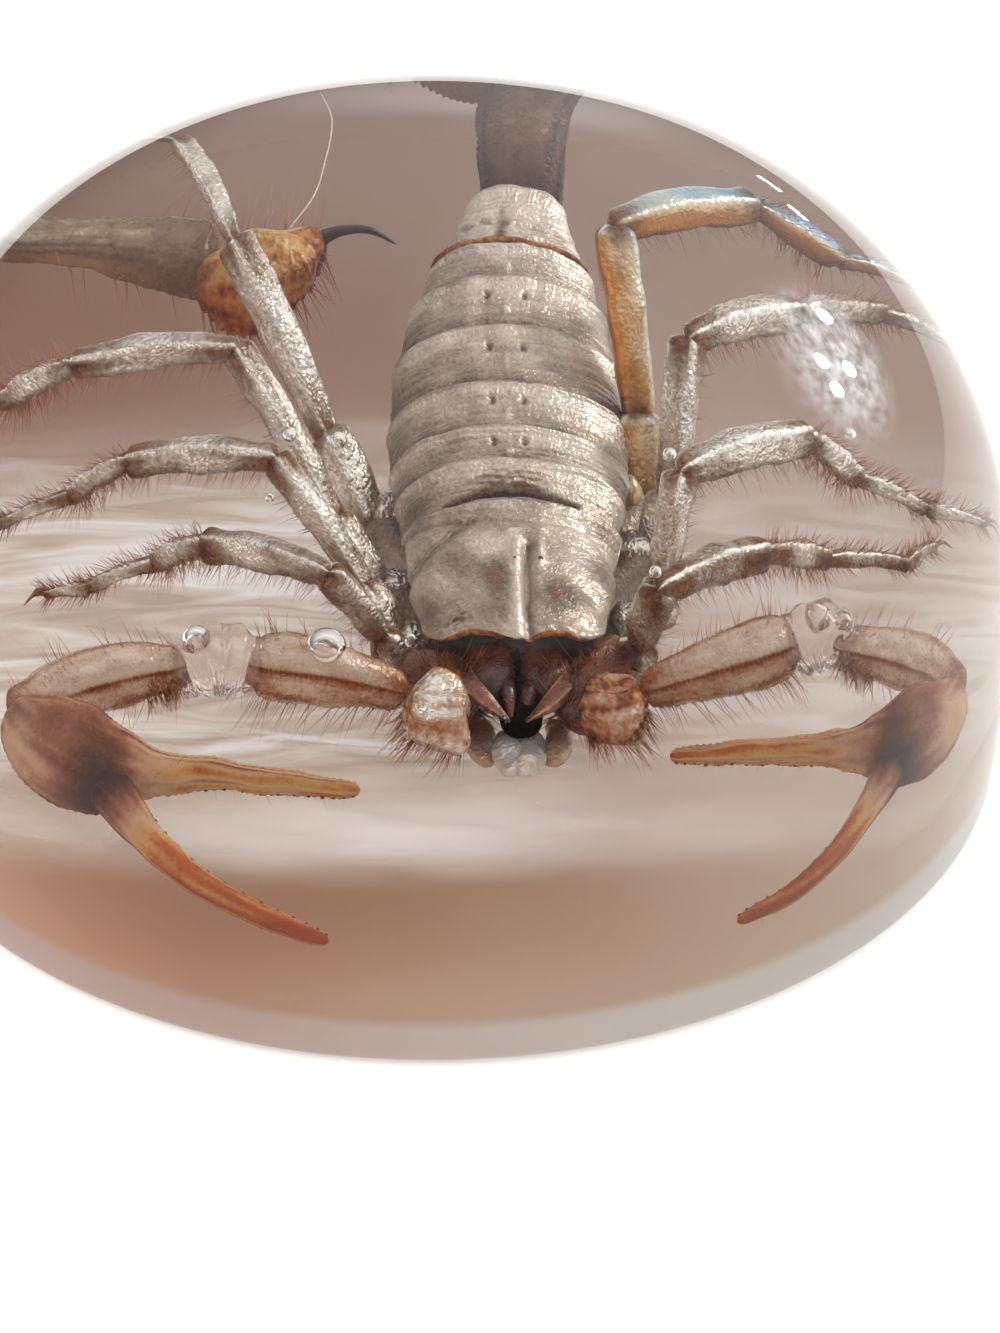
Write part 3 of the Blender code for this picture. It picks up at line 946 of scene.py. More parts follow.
# %% Joints of the arms
FACING = (0.0, -0.84, 0.54)
BELOW = (0.0, -0.54, -0.84)
ARMS = {
    "left": {
        "block": [(0.8, -8.5, 5.2), (-0.1, -8.9, 5.55), (-1.1, -8.7, 5.9)],
        "upper": [(-1.0, -8.4, 6.0), (-3.5, -8.3, 6.6), (-5.95, -8.05, 6.87)],
        "elbow": [(-5.2, -8.1, 6.45), (-6.7, -8.12, 7.0), (-8.2, -8.15, 6.4)],
        "lower": [(-7.55, -7.95, 6.78), (-10.2, -8.2, 6.5), (-12.3, -8.8, 6.2), (-13.6, -9.4, 6.0)],
        "hand": [(-13.6, -9.3, 5.95), (-12.6, -10.5, 5.65), (-11.0, -11.45, 5.35), (-9.3, -11.7, 5.2),
                 (-7.4, -11.6, 5.1), (-5.0, -11.7, 4.85), (-2.5, -11.75, 4.6)],
        "thumb": [(-10.5, -12.3, 4.95), (-10.1, -13.4, 4.75), (-9.4, -14.8, 4.4), (-8.0, -16.3, 3.7),
                  (-6.1, -17.25, 2.95), (-3.7, -18.15, 2.25)]},
    "right": {
        "block": [(4.3, -8.4, 5.2), (5.2, -8.8, 5.5), (6.3, -8.6, 5.8)],
        "upper": [(6.1, -8.4, 6.0), (8.8, -7.8, 6.6), (11.1, -7.05, 6.97)],
        "elbow": [(10.4, -7.2, 6.5), (11.75, -6.98, 7.05), (13.1, -7.05, 6.45)],
        "lower": [(12.25, -7.0, 6.75), (14.2, -7.1, 6.45), (16.4, -7.8, 6.2), (17.8, -8.7, 5.95)],
        "hand": [(17.9, -8.7, 5.95), (17.0, -10.1, 5.65), (15.5, -10.95, 5.4), (13.8, -10.9, 5.25),
                 (11.9, -10.45, 5.05), (9.6, -10.15, 4.88), (7.0, -9.8, 4.6)],
        "thumb": [(15.1, -11.4, 4.95), (14.8, -12.7, 4.6), (14.2, -14.1, 4.1), (13.4, -15.5, 3.45),
                  (12.1, -16.8, 2.8), (9.95, -17.8, 2.2)]},
}
# Keels are (angle, height, spread, bead, dark).
LONG_KEELS = [(100, 0.05, 5, 0, 0.5), (340, 0.0, 30, 0, 0.4), (215, 0.04, 12, 0.22, 0.6),
              (12, 0.08, 5, 0.15, 0.9), (332, 0.04, 6, 0.2, 0.56), (290, 0.05, 9, 0.24, 0.66)]
# At 0 and 180 degrees, the rims of the hand and the moving finger as seen from the front, the dark keels are
# real keels and also painted shade for the darker rims of see-through horn.
HAND_KEELS_AND_RIM_SHADE = [(0, 0.05, 9, 0.26, 0.74), (180, 0.06, 10, 0.22, 0.74), (60, 0.03, 9, 0, 0.36),
              (125, 0.04, 7, 0, 0.5), (150, 0.03, 6, 0.3, 0.66)]
THUMB_KEELS_AND_RIM_SHADE = [(0, 0.03, 10, 0, 0.7), (180, 0.04, 10, 0.3, 0.74)]


def arm(places, crust, crest, seed):
    """The limbs of one arm by name. The long joints are pale above and red-brown below a serrated
    dark keel, and the hand draws out into the fixed finger, so one path carries both. `crust` is
    the tone along the hip block, and `crest` the tone of its upper keel."""
    pleats = 0.11 * np.sin(np.arange(26) * 1.5)
    bulge = np.sin(np.linspace(0.4, 2.74, 26)) ** 0.75
    block_keels = [(60, 0.12, 14, 0, crest), (130, 0.1, 10, 0, 0.45), (350, 0.1, 16, 0.2, 0.6),
                   (300, 0.1, 12, 0.24, 0.1)]
    return {
        "block": limb(places["block"], [1.2, 1.75, 1.8, 1.4], [1.3, 1.8, 1.8, 1.4], crust, 60, 44, 2.8,
                      keels=block_keels, blunt=(0.6, 0.5), uneven=0.3, fibres=0.3, seed=seed),
        "upper": limb(places["upper"], [0.85, 1.2, 1.55, 1.75, 1.45], [0.95, 1.4, 1.8, 1.95, 1.6],
                      [0.55, 0.28, 0.16, 0.12, 0.14, 0.1], 120, 56, 2.7, keels=LONG_KEELS,
                      blunt=(0.4, 0.8), uneven=0.04, fibres=0.1, seed=seed + 1),
        "elbow": limb(places["elbow"], 2.05 * bulge + pleats, 2.15 * bulge + pleats, 0.5, 90, 48, 2.1,
                      blunt=(0.5, 0.5), uneven=0.06, fibres=0, seed=seed + 6),
        "lower": limb(places["lower"], [0.9, 1.4, 1.7, 1.75, 1.5, 1.1], [1.0, 1.5, 1.85, 1.85, 1.5, 1.1],
                      [0.16, 0.14, 0.1, 0.12, 0.26, 0.7], 120, 56, 2.5, keels=LONG_KEELS,
                      blunt=(0.8, 0.4), uneven=0.05, fibres=0.12, seed=seed + 2),
        "hand": limb(places["hand"], [1.3, 2.6, 3.4, 3.4, 2.7, 1.6, 1.12, 0.92, 0.8, 0.7, 0.6, 0.42],
                     [1.2, 1.9, 2.3, 2.2, 1.7, 1.15, 0.85, 0.72, 0.64, 0.56, 0.5, 0.35],
                     [0.62, 0.5, 0.42, 0.44, 0.38, 0.27, 0.21, 0.19, 0.18, 0.18, 0.14, 0.05], 170, 64,
                     2.2, front=BELOW, up=FACING, keels=HAND_KEELS_AND_RIM_SHADE, blunt=(0.5, 0.3), uneven=0.05,
                     fibres=0.12, seed=seed + 3),
        "thumb": limb(places["thumb"], [1.6, 1.42, 1.15, 1.0, 0.92, 0.84, 0.72, 0.4],
                      [1.3, 1.15, 0.95, 0.82, 0.75, 0.66, 0.56, 0.34],
                      [0.78, 0.52, 0.2, 0.08, 0.06, 0.05, 0.0], 130, 44, 2.2, front=BELOW, up=FACING,
                      keels=THUMB_KEELS_AND_RIM_SHADE, blunt=(0.3, 0.3), uneven=0.03, fibres=0.1, seed=seed + 5),
    }


def stain(made_limb, where, turn_at, spread, dark):
    """The same limb with its tone drawn towards `dark` around one place: bells along and round it."""
    rings, tones = made_limb
    u = np.linspace(0, 1, rings.shape[0])[:, None]
    away = (np.linspace(0, 360, rings.shape[1], endpoint=False)[None, :] - turn_at + 180) % 360 - 180
    weight = bell(u, where, spread[0]) * bell(away, 0, spread[1])
    return rings, tones + (dark - tones) * weight


CRUST = {"left": ([0.7, 0.4, 0.2, 0.5], 0.0), "right": ([0.85, 0.66, 0.5, 0.78], 0.6)}
PALE_LOBE = {"left": (0.16, 32, (0.06, 42), 0.35), "right": (0.17, 50, (0.07, 48), 0.25)}
ARM_PIECES = {
    "block": ("arm_{}_hip_block", crusted_cuticle, "pale_cuticle"),
    "upper": ("arm_{}_upper", arm_cuticle, "amber_cuticle"),
    "elbow": ("arm_{}_elbow", membrane, "pale_cuticle"),
    "lower": ("arm_{}_lower", arm_cuticle, "amber_cuticle"),
    "hand": ("hand_{}", hand_cuticle, "amber_cuticle"),
    "thumb": ("finger_{}_moving", hand_cuticle, "amber_cuticle"),
}
arm_limbs = {side: arm(places, *CRUST[side], 300 + 20 * k) for k, (side, places) in enumerate(ARMS.items())}
for side, limbs in arm_limbs.items():
    # A dark stain spreads from the fingers' hinge over the palm, round one pale lobe.
    for where in ((0.36, 60, (0.07, 80), 0.9), (0.25, 110, (0.07, 40), 0.62), PALE_LOBE[side]):
        limbs["hand"] = stain(limbs["hand"], *where)
    limbs["thumb"] = stain(limbs["thumb"], 0.05, 90, (0.1, 120), 0.86)
    for part, (name, look, slot) in ARM_PIECES.items():
        put(name.format(side), skins(limbs[part]), look)
print("arm pieces", len(ARM_PIECES) * len(arm_limbs))

# %% [markdown]
# ### Teeth on the fingers
# The inner edge of each finger carries a row of fine dark teeth about 0.5 mm apart. Each is a low
# peg with a rounded top. An Array along a curve would space them too, but the finger's own grid
# also says which way is out.

# %% Finger teeth
def pegs(roots, ways, wide, tall, tone=0.95, around=8, steps=5):
    """Short blunt pegs: circles of radius wide/2 * cos(t) at height tall * sin(t)."""
    shapes = []
    t = np.linspace(0, np.pi / 2 * 0.9, steps)
    turns = np.linspace(0, 2 * np.pi, around, endpoint=False)
    for root, way in zip(roots, ways):
        side = unit(np.cross(way, (0.3, 0.5, 0.8)))
        other = np.cross(way, side)
        ring = np.cos(turns)[:, None] * side + np.sin(turns)[:, None] * other
        height, radius = tall * np.sin(t)[:, None, None], wide / 2 * np.cos(t)[:, None, None]
        shapes.append(closed(root - way * 0.06 + way * height + ring * radius, tone))
    return shapes


TEETH = 13
for side, limbs in arm_limbs.items():
    rows = []
    for name, turn_at, start in (("hand", 0.0, 0.5), ("thumb", 0.5, 0.3)):
        roots, ways = spots(limbs[name][0], np.linspace(start, 0.96, TEETH), np.full(TEETH, turn_at))
        rows += pegs(roots, ways, 0.16, 0.1)
    put(f"finger_teeth_{side}", rows, dark_cuticle)
print("teeth on each hand", len(rows))

# %% [markdown]
# ## Mouth parts
# Under the front of the head shield sit two small pincers with glossy dark bodies and thin
# see-through fingers. Beside and below them are the swollen hips of the arms, and pale lobes close
# the mouth from below. They are all short limbs, since nothing there is seen closely.

# %% Mouth parts
HEAD_X = 2.35


def leaned(places):
    """Places beside the head, turned with the trunk's roll about the middle of the waist."""
    x, y, z = np.asarray(places, float).T
    return rolled(x - middle_x(y), y, z)


pincer_bodies, pincer_fingers, pincer_teeth = [], [], []
for side in (-1, 1):
    out = lambda offset, y, z: (HEAD_X + side * offset, y + 0.25 * (side > 0), z - 0.15 * (side > 0))
    body_path = leaned([out(0.85, -5.2, 5.5), out(0.86, -6.6, 5.6), out(0.75, -7.75, 5.5)])
    pincer_bodies.append(limb(body_path, [1.3, 1.6, 1.5, 1.0], [1.1, 1.4, 1.3, 0.8], [0.6, 0.55, 0.6, 0.9],
                              60, 36, 2.4, blunt=(0.4, 0.5), uneven=0.14, fibres=0.15, seed=60 + side))
    outer_path = leaned([out(1.6, -6.9, 5.75), out(1.45, -7.6, 5.7), out(0.95, -8.15, 5.45),
                         out(0.25, -8.5, 5.05)])
    outer = limb(outer_path, [0.62, 0.6, 0.44, 0.08], [0.6, 0.56, 0.4, 0.08], [0.7, 0.6, 0.5, 0.6], 50, 24,
                 keels=[(30, 0.04, 14, 0, 0.05), (120, 0.03, 12, 0, 0.1)], blunt=(0.1, 0.05),
                 uneven=0.05, seed=64 + side)
    inner_path = leaned([out(0.35, -7.3, 5.6), out(0.28, -7.85, 5.45), out(0.2, -8.3, 5.1)])
    inner = limb(inner_path, [0.5, 0.42, 0.08], [0.55, 0.42, 0.08], [0.85, 0.75, 0.5], 30, 14,
                 blunt=(0.1, 0.05), uneven=0.02, seed=68 + side)
    pincer_fingers += [outer, inner]
    roots, ways = spots(outer[0], np.linspace(0.45, 0.92, 6), np.full(6, 0.0 if side < 0 else 0.5))
    pincer_teeth += pegs(roots, ways, 0.16, 0.17)
put("pincer_bodies", skins(*pincer_bodies), mouth_cuticle)
put("pincer_fingers", skins(*pincer_fingers), mouth_cuticle)
put("pincer_teeth", pincer_teeth, dark_cuticle)
print("pincers", len(pincer_bodies), "with teeth", len(pincer_teeth))

# %% Hips of the arms, painted shadow of the mouth, and lobes
MOUTH_X = 2.4
hips = [limb([(MOUTH_X + side * 3.3, -5.0, 4.8), (MOUTH_X + side * 2.3, -6.3, 4.95),
              (MOUTH_X + side * 1.3, -7.75, 4.95)],
             [1.6, 2.1, 2.1, 1.5], [1.6, 2.0, 2.0, 1.5], [0.5, 0.5, 0.55, 0.8], 70, 56, 2.3,
             blunt=(0.5, 0.7), uneven=0.16, fibres=0.15, seed=72 + side) for side in (-1, 1)]
put("arm_hips", skins(*hips), mouth_cuticle)
# Painted shade: a near-black skin stands for the shade inside the open mouth.
mouth_shadow = limb([(MOUTH_X, -5.6, 4.9), (MOUTH_X, -7.0, 4.8), (MOUTH_X + 0.05, -8.2, 4.7)], [1.2, 1.5, 1.2],
              [0.9, 1.1, 1.1], 1.0, 30, 20, blunt=(0.3, 0.3), seed=78)
put("mouth_cavity", skins(mouth_shadow), shadow_black_skin)

lobes = [limb([(HEAD_X + x, -7.0, 3.7), (HEAD_X + x, -8.5, 3.85), (HEAD_X + 0.8 * x, -9.5, 3.95)],
              [0.7, 1.0, 0.6], [0.6, 0.9, 0.5], [0.1, 0.0, 0.0], 50, 26, 2.2,
              blunt=(0.3, 0.5), uneven=0.12, seed=80 + k) for k, x in enumerate((-0.3, 0.3))]
lobes += [limb([(HEAD_X + x, -6.2, 3.7), (HEAD_X + x, -7.6, 3.6), (HEAD_X + 0.85 * x, -8.4, 3.6)],
               [0.7, 0.9, 0.5], [0.6, 0.7, 0.45], [0.5, 0.4, 0.3], 50, 26, 2.2,
               blunt=(0.3, 0.4), uneven=0.1, seed=84 + k) for k, x in enumerate((-1.1, 1.1))]
put("mouth_lobes", skins(*lobes), thin_cuticle)
print("mouth parts", len(pincer_bodies) + len(pincer_fingers) + len(hips) + len(lobes))

# %% [markdown]
# ## Eyes
# A scorpion has two eyes on top of the shield and a few small ones at each front corner. They are
# low black domes, the same pegs as the teeth but rounder, set upright on the shield's grid.

# %% Eyes
def shield_spot(x, y):
    """The point of the head shield's grid nearest to a place seen from above, and its outward way."""
    away = np.hypot(shield_grid[..., 0] - x, shield_grid[..., 1] - y)
    i, j = np.unravel_index(np.argmin(away), away.shape)
    across = shield_grid[i + 1, j] - shield_grid[i - 1, j]
    along = shield_grid[i, j + 1] - shield_grid[i, j - 1]
    way = np.cross(across, along)
    return shield_grid[i, j], unit(way * np.sign(way[2]))


TOP_EYES = [(2.25, -3.75), (3.05, -3.75)]
SIDE_EYES = [(0.3, -5.75), (0.5, -5.95), (0.72, -6.1), (4.5, -5.8), (4.3, -6.0), (4.1, -6.15)]
for name, places, wide, tall in (("top_eyes", TOP_EYES, 0.18, 0.07), ("side_eyes", SIDE_EYES, 0.12, 0.05)):
    roots, ways = zip(*(shield_spot(x, y) for x, y in places))
    put(name, pegs(roots, ways, wide, tall, tone=1.0, around=20, steps=8), dark_cuticle)
print("eyes", len(TOP_EYES) + len(SIDE_EYES))

# %% [markdown]
# ## Belly
# From below, through the clear resin, the belly shows five flat plates, the hips of the legs
# meeting at a small middle plate, and a pair of comb organs, each a stem with a row of fine teeth.

# %% Belly plates
BELLY_Y = [0.9, 2.9, 5.1, 7.4, 9.9, 12.2]


def belly_plate(number, across=90, along=30):
    """The underside's arch between two borders, tucked in front and lifted behind."""
    start, end = BELLY_Y[number - 1] - 0.3, BELLY_Y[number]
    v = np.linspace(-1, 1, across)[:, None]
    u = np.linspace(0, 1, along)[None, :]
    y = start + (end - start) * u
    rise = evenly(u.ravel(), [-0.16, -0.06, 0.0, 0.02, 0.06])[None, :] - 0.08 * v**6
    grid = trunk_grid(y, v, rise, side=-1, reach=74)
    tone = 0.2 + 0.2 * evenly(u.ravel(), [1.0, 0.2, 0, 0, 0.6])[None, :]
    return plate(grid, 0.1, np.clip(tone + 0.12 * waves(grid, 1.4, 90 + number), 0, 1))


for number in range(1, len(BELLY_Y)):
    put(f"belly_plate_{number}", belly_plate(number), pale_cuticle)
print("belly plates", len(BELLY_Y) - 1)

# %% Hips, middle plate and combs
BELLY_X = 2.3
leg_hips = []
for k, (name, (*_, joints)) in enumerate(LEGS.items()):
    hip = np.array(joints[0], float)
    side, order = (-1 if "left" in name else 1), int(name[-1])
    inner = np.array([BELLY_X + side * 0.55, -3.1 + 0.75 * order - 0.9, 3.95 + 0.05 * order])
    leg_hips.append(limb([inner, 0.5 * (inner + hip) - (0, 0, 0.15), hip], [0.9, 1.3, 1.4, 1.2],
                         [0.7, 1.0, 1.2, 1.2], [0.4, 0.25, 0.3, 0.5], 40, 24, 2.4, blunt=(0.3, 0.4),
                         uneven=0.05, seed=120 + k))
put("leg_hips", skins(*leg_hips), pale_cuticle)
middle_plate = limb([(BELLY_X, -2.9, 3.95), (BELLY_X, -1.9, 3.9), (BELLY_X, -0.9, 3.9)], [0.5, 1.2, 1.4],
                    [0.3, 0.4, 0.4], 0.3, 30, 24, 2.6, blunt=(0.3, 0.3), seed=130)
put("middle_plate", skins(middle_plate), pale_cuticle)
combs = []
for side in (-1, 1):
    stem = limb([(BELLY_X + side * 0.35, -0.5, 3.75), (BELLY_X + side * 1.4, 0.3, 3.7),
                 (BELLY_X + side * 2.5, 1.7, 3.85)], [0.45, 0.5, 0.22], [0.3, 0.32, 0.2], [0.4, 0.3, 0.4],
                40, 16, seed=134)
    roots, _ = spots(stem[0], np.linspace(0.2, 0.95, 16), np.full(16, 0.75))
    way = unit(np.array([side * -0.35, 0.9, -0.15]))
    combs += [stem] + [limb([root - way * 0.05, root + way * 0.45, root + way * 0.85], [0.12, 0.13, 0.11],
                            [0.1, 0.1, 0.09], 0.3, 8, 8, blunt=(0.05, 0.06), uneven=0, seed=136)
                       for root in roots]
put("combs", skins(*combs), thin_cuticle)
print("leg hips", len(leg_hips), "comb teeth", len(combs) - 2)

# %% [markdown]
# ## Tail
# Five box-shaped joints with beaded keels curl round behind the body to the left, and the last
# swells into the poison bulb with its black sting. Keels lie at the corners of the section, so the
# same limb with a higher power, nearly a box, serves here.

# %% Tail
TAIL = np.array([(2.5, 12.1, 5.5), (3.1, 18.3, 5.5), (-2.4, 21.2, 4.8), (-11.5, 20.2, 4.9),
                 (-17.0, 14.7, 4.3), (-6.6, 12.8, 4.2)])
TAIL_WIDE = [2.75, 2.5, 2.2, 1.3, 0.95]
# The first joints' darker tone is partly painted shade, for the shade they lie in behind the body.
TAIL_TONE_AND_SHADE = [0.68, 0.66, 0.5, 0.36, 0.3]
TAIL_KEEL = [0.12, 0.12, 0.1, 0.05, 0.03]


def tail_joint(k):
    """A limb of power 3.2, nearly a box, with eight beaded keels 0.28 mm from bead to bead. The
    last joint swells towards the poison bulb."""
    start, end, wide, tone = TAIL[k], TAIL[k + 1], TAIL_WIDE[k], TAIL_TONE_AND_SHADE[k]
    way = unit(end - start)
    keels = [(angle, TAIL_KEEL[k], 9, 0.28, tone + 0.2) for angle in (42, 138, 12, 168, 222, 318, 252, 288)]
    swell = np.array([0.8, 0.84, 0.9, 1.2, 1.5] if k == 4 else [0.72, 0.92, 1.0, 1.02, 0.94])
    path = [start - way * 0.1, 0.5 * (start + end) + (0, 0, 0.1), end + way * 0.25]
    return limb(path, swell * wide, swell * wide * 0.88, [tone + 0.25, tone, tone - 0.08, tone, tone + 0.3],
                100, 64, 3.2, front=np.cross(way, (0, 0, 1)), keels=keels, blunt=(0.5, 0.5), uneven=0.05,
                seed=141 + k)


tail_limbs = [tail_joint(k) for k in range(len(TAIL_WIDE))]
for number, part in enumerate(tail_limbs, start=1):
    put(f"tail_joint_{number}", skins(part), tail_cuticle, prism=(9, 30))
bulb_keels = [(angle, 0.07, 15, 0.26, 0.66) for angle in (215, 240, 270, 300, 325)]
bulb = limb([(-6.9, 12.2, 4.2), (-5.8, 11.9, 4.4), (-4.6, 11.9, 4.7), (-3.3, 12.3, 5.0)],
            [0.9, 1.4, 1.75, 1.7, 1.3, 0.5], [0.8, 1.5, 1.8, 1.75, 1.2, 0.5],
            [0.6, 0.36, 0.2, 0.2, 0.4, 0.85], 80, 56, 2.1, front=(0, 1, 0),
            keels=bulb_keels + [(150, 0.04, 12, 0.3, 0.5)], blunt=(0.3, 0.3), uneven=0.1, fibres=0.2,
            seed=150)
put("poison_bulb", skins(bulb), amber_cuticle, prism=(7, 18))
sting = limb([(-3.6, 12.35, 5.0), (-2.9, 12.2, 5.35), (-2.1, 12.15, 5.4), (-1.25, 12.2, 5.0)],
             [0.34, 0.2, 0.13, 0.03], [0.36, 0.21, 0.14, 0.03], [0.7, 0.95, 1.0], 50, 18,
             front=(0, 1, 0), blunt=(0.1, 0.02), uneven=0, seed=151)
put("sting", skins(sting), dark_cuticle)
print("tail", len(tail_limbs), "joints, bulb and sting")

# %% [markdown]
# ## Bristles
# The limbs carry fine red-brown bristles. Blender's hair would be easier to comb, but it is no
# closed mesh. Each bristle is a three-sided cone, bent along a parabola, so thousands stay light.
# Their roots are drawn at random on the limbs' own grids, with a fixed seed.

# %% Bristles
def bristles(limbs, each, turn_mid, turn_wide, long, seed, base=0.05, lean=0.35, along=(0.08, 0.95),
             droop=0.25, steps=4):
    """`each` bristles on every limb, between two fractions of its length and within half of
    turn_wide degrees of turn_mid. A bristle is root + way * L * t + bend * L * t^2, and its radius
    falls as (1 - t)^0.8."""
    draw = np.random.default_rng(seed)
    roots, ways = [], []
    for rings, _ in limbs:
        u = draw.uniform(*along, each)
        turns = (turn_mid + turn_wide * (draw.uniform(-0.5, 0.5, each))) / 360
        root, way = spots(rings, u, turns)
        forward = unit(rings[-1].mean(axis=0) - rings[0].mean(axis=0))
        roots.append(root)
        ways.append(unit(way + lean * forward + draw.normal(0, 0.16, (each, 3))))
    roots, ways = np.vstack(roots), np.vstack(ways)
    count = len(roots)
    length = draw.uniform(*long, (count, 1, 1))
    bend = unit(np.cross(ways, draw.normal(size=(count, 3))))[:, None] * draw.uniform(0, droop, (count, 1, 1))
    t = np.linspace(0, 1, steps + 1)[None, :, None]
    spine = roots[:, None] - ways[:, None] * 0.04 + ways[:, None] * length * t + bend * length * t**2
    side = unit(np.cross(ways, (0.21, 0.33, 0.92)))
    other = np.cross(ways, side)
    corner = np.radians([90, 210, 330])
    ring = np.cos(corner)[:, None] * side[:, None] + np.sin(corner)[:, None] * other[:, None]
    radius = (base / 2 * (1 - t[:, :-1]) ** 0.8)[..., None]
    walls = spine[:, :-1, None] + ring[:, None] * radius
    points = np.concatenate([walls.reshape(count, -1, 3), spine[:, -1:]], axis=1)
    faces = []
    for k in range(steps - 1):
        for a in range(3):
            b = (a + 1) % 3
            faces.append([3 * k + a, 3 * k + b, 3 * k + 3 + b, 3 * k + 3 + a])
    top = 3 * steps
    faces += [[top - 3 + a, top - 3 + (a + 1) % 3, top, -1] for a in range(3)] + [[2, 1, 0, -1]]
    faces = np.array(faces)[None] + (np.arange(count) * (top + 1))[:, None, None] * (np.array(faces) >= 0)
    tone = np.broadcast_to(np.linspace(0.75, 0.45, steps)[:, None], (steps, 3)).ravel()
    tones = np.tile(np.r_[tone, 0.4], count)
    return points.reshape(-1, 3), faces.reshape(-1, 4), tones


for side, limbs in arm_limbs.items():
    long_joints = [limbs["upper"], limbs["lower"]]
    parts = [bristles(long_joints, 90, 280, 130, (0.7, 1.6), 501, base=0.028),
             bristles(long_joints, 40, 90, 90, (0.5, 1.1), 502, base=0.026),
             bristles([limbs["lower"]], 220, 330, 70, (0.35, 0.8), 503, base=0.03, along=(0.03, 0.3),
                      lean=-0.2),
             bristles([limbs["hand"], limbs["thumb"]], 60, 0, 240, (0.25, 0.6), 504, base=0.02)]
    put(f"bristles_arm_{side}", parts, bristle_horn)
for name, limbs in leg_limbs.items():
    parts = [bristles(limbs[3:5], 120, 270, 110, (0.4, 0.95), 520, base=0.022, lean=0.5),
             bristles(limbs[4:7], 50, 90, 90, (0.35, 0.75), 521, base=0.028, lean=0.7),
             bristles(limbs[5:7], 60, 270, 130, (0.3, 0.6), 522, base=0.026, lean=0.8),
             bristles(limbs[2:3], 60, 270, 160, (0.3, 0.8), 523, base=0.02)]
    put("bristles_leg_" + name, parts, bristle_horn)
mouth_hair = [bristles(hips, 260, 90, 300, (0.4, 1.2), 530, base=0.034, along=(0.4, 0.98), lean=0.3),
              bristles([limbs["block"] for limbs in arm_limbs.values()], 150, 270, 110, (0.6, 1.2), 531,
                       base=0.034)]
put("bristles_mouth", mouth_hair, bristle_horn)
tail_hair = [bristles([bulb], 160, 270, 260, (0.6, 1.4), 540, base=0.03),
             bristles(tail_limbs[1:], 60, 90, 360, (0.5, 1.1), 541, base=0.035)]
put("bristles_tail", tail_hair, bristle_horn)
print("bristle pieces", sum(name.startswith("bristles") for name in made), "faces",
      sum(count for name, count in made.items() if name.startswith("bristles")))

# %% [markdown]
# ## Air bubbles, a thread and the pour seam
# When the specimen was dipped in resin, air stayed in the joints as round bubbles. They could be
# cut out of the resin, but a sphere of air in it bends light just the same. A loose fibre floats
# above the tail. The dome was cast in two pours, and the skin on the first pour still shows as a
# silky sheet with long pale streaks below the animal.

# %% Bubbles and thread
BUBBLES = [
    ((-3.5, -8.6, 7.7), 0.62, 0.5), ((-7.45, -8.15, 7.7), 0.46, 0.42), ((11.7, -6.9, 7.6), 0.42, 0.5),
    ((12.5, -6.9, 7.5), 0.3, 0.3), ((7.0, -1.7, 9.6), 0.22, 0.2), ((6.6, -6.5, 8.8), 0.2, 0.2),
    ((-4.5, -0.9, 9.6), 0.2, 0.18), ((-3.0, 0.3, 8.6), 0.24, 0.2), ((-5.1, -2.6, 8.8), 0.14, 0.14),
    ((-0.9, -6.2, 6.4), 0.2, 0.22), ((5.9, -5.2, 6.2), 0.26, 0.3), ((12.1, 2.6, 7.6), 0.18, 0.16)]


def ball(centre, radius, rise, steps=24, around=36):
    """A sphere of rings, squashed or drawn out to `rise` mm of half height."""
    t = np.linspace(-np.pi / 2, np.pi / 2, steps + 2)[1:-1]
    turns = np.linspace(0, 2 * np.pi, around, endpoint=False)
    x, y = np.outer(np.cos(t), np.cos(turns)) * radius, np.outer(np.cos(t), np.sin(turns)) * radius
    z = np.outer(np.sin(t), np.ones(around)) * rise
    return closed(np.stack([x, y, z], axis=-1) + centre, 0.0)


put("air_bubbles", [ball(*bubble) for bubble in BUBBLES], trapped_air)
thread_path = [(-4.0, 13.5, 12.0), (-3.7, 10.5, 12.3), (-3.75, 8.6, 12.1), (-4.1, 6.4, 12.0),
               (-4.7, 5.4, 11.8)]
thread = limb(thread_path, 0.05, 0.05, 0.0, 60, 8, blunt=(0.02, 0.02), uneven=0, seed=600)
put("loose_fibre", skins(thread), pale_fibre)
print("bubbles", len(BUBBLES), "the widest", 2 * max(bubble[1] for bubble in BUBBLES), "mm")

# %% Pour seam
SEAM_Z, SEAM_RADIUS = 3.3, 24.4


def pour_seam(count=190):
    """A disc whose height is SEAM_Z plus long low waves, on a square grid bent to a circle: each
    square ring becomes a round ring of the same size."""
    a, b = np.meshgrid(np.linspace(-1, 1, count), np.linspace(-1, 1, count), indexing="ij")
    size = np.maximum(np.abs(a), np.abs(b))
    reach = np.hypot(a, b) + 1e-9
    x, y = SEAM_RADIUS * a * size / reach, SEAM_RADIUS * b * size / reach
    flat = np.stack([x * 0.22, y, 0 * x], axis=-1)
    z = SEAM_Z + 0.16 * waves(flat, 1.3, 610) + 0.12 * waves(flat, 2.6, 611) + 0.05 * waves(flat, 0.6, 612)
    return plate(np.stack([x, y, z], axis=-1), 0.03, np.zeros_like(x))


put("pour_seam", pour_seam(), silky_seam)
print("seam at", SEAM_Z, "mm,", made["pour_seam"], "faces")

# %% [markdown]
# ## Floor and light
# The floor is a plain pale sheet, large enough to fill the view behind the dome. The light is
# soft: a pale surround, a large box high on the right behind the dome, and a warmer, weaker one
# low on the left in front. These two light only the animal. The resin has a glow of its own from
# above, and the floor a soft sun, so each can be as bright as it is in the photograph. One set of
# lamps for all would be truer, but the clear resin would then outshine what is in it.

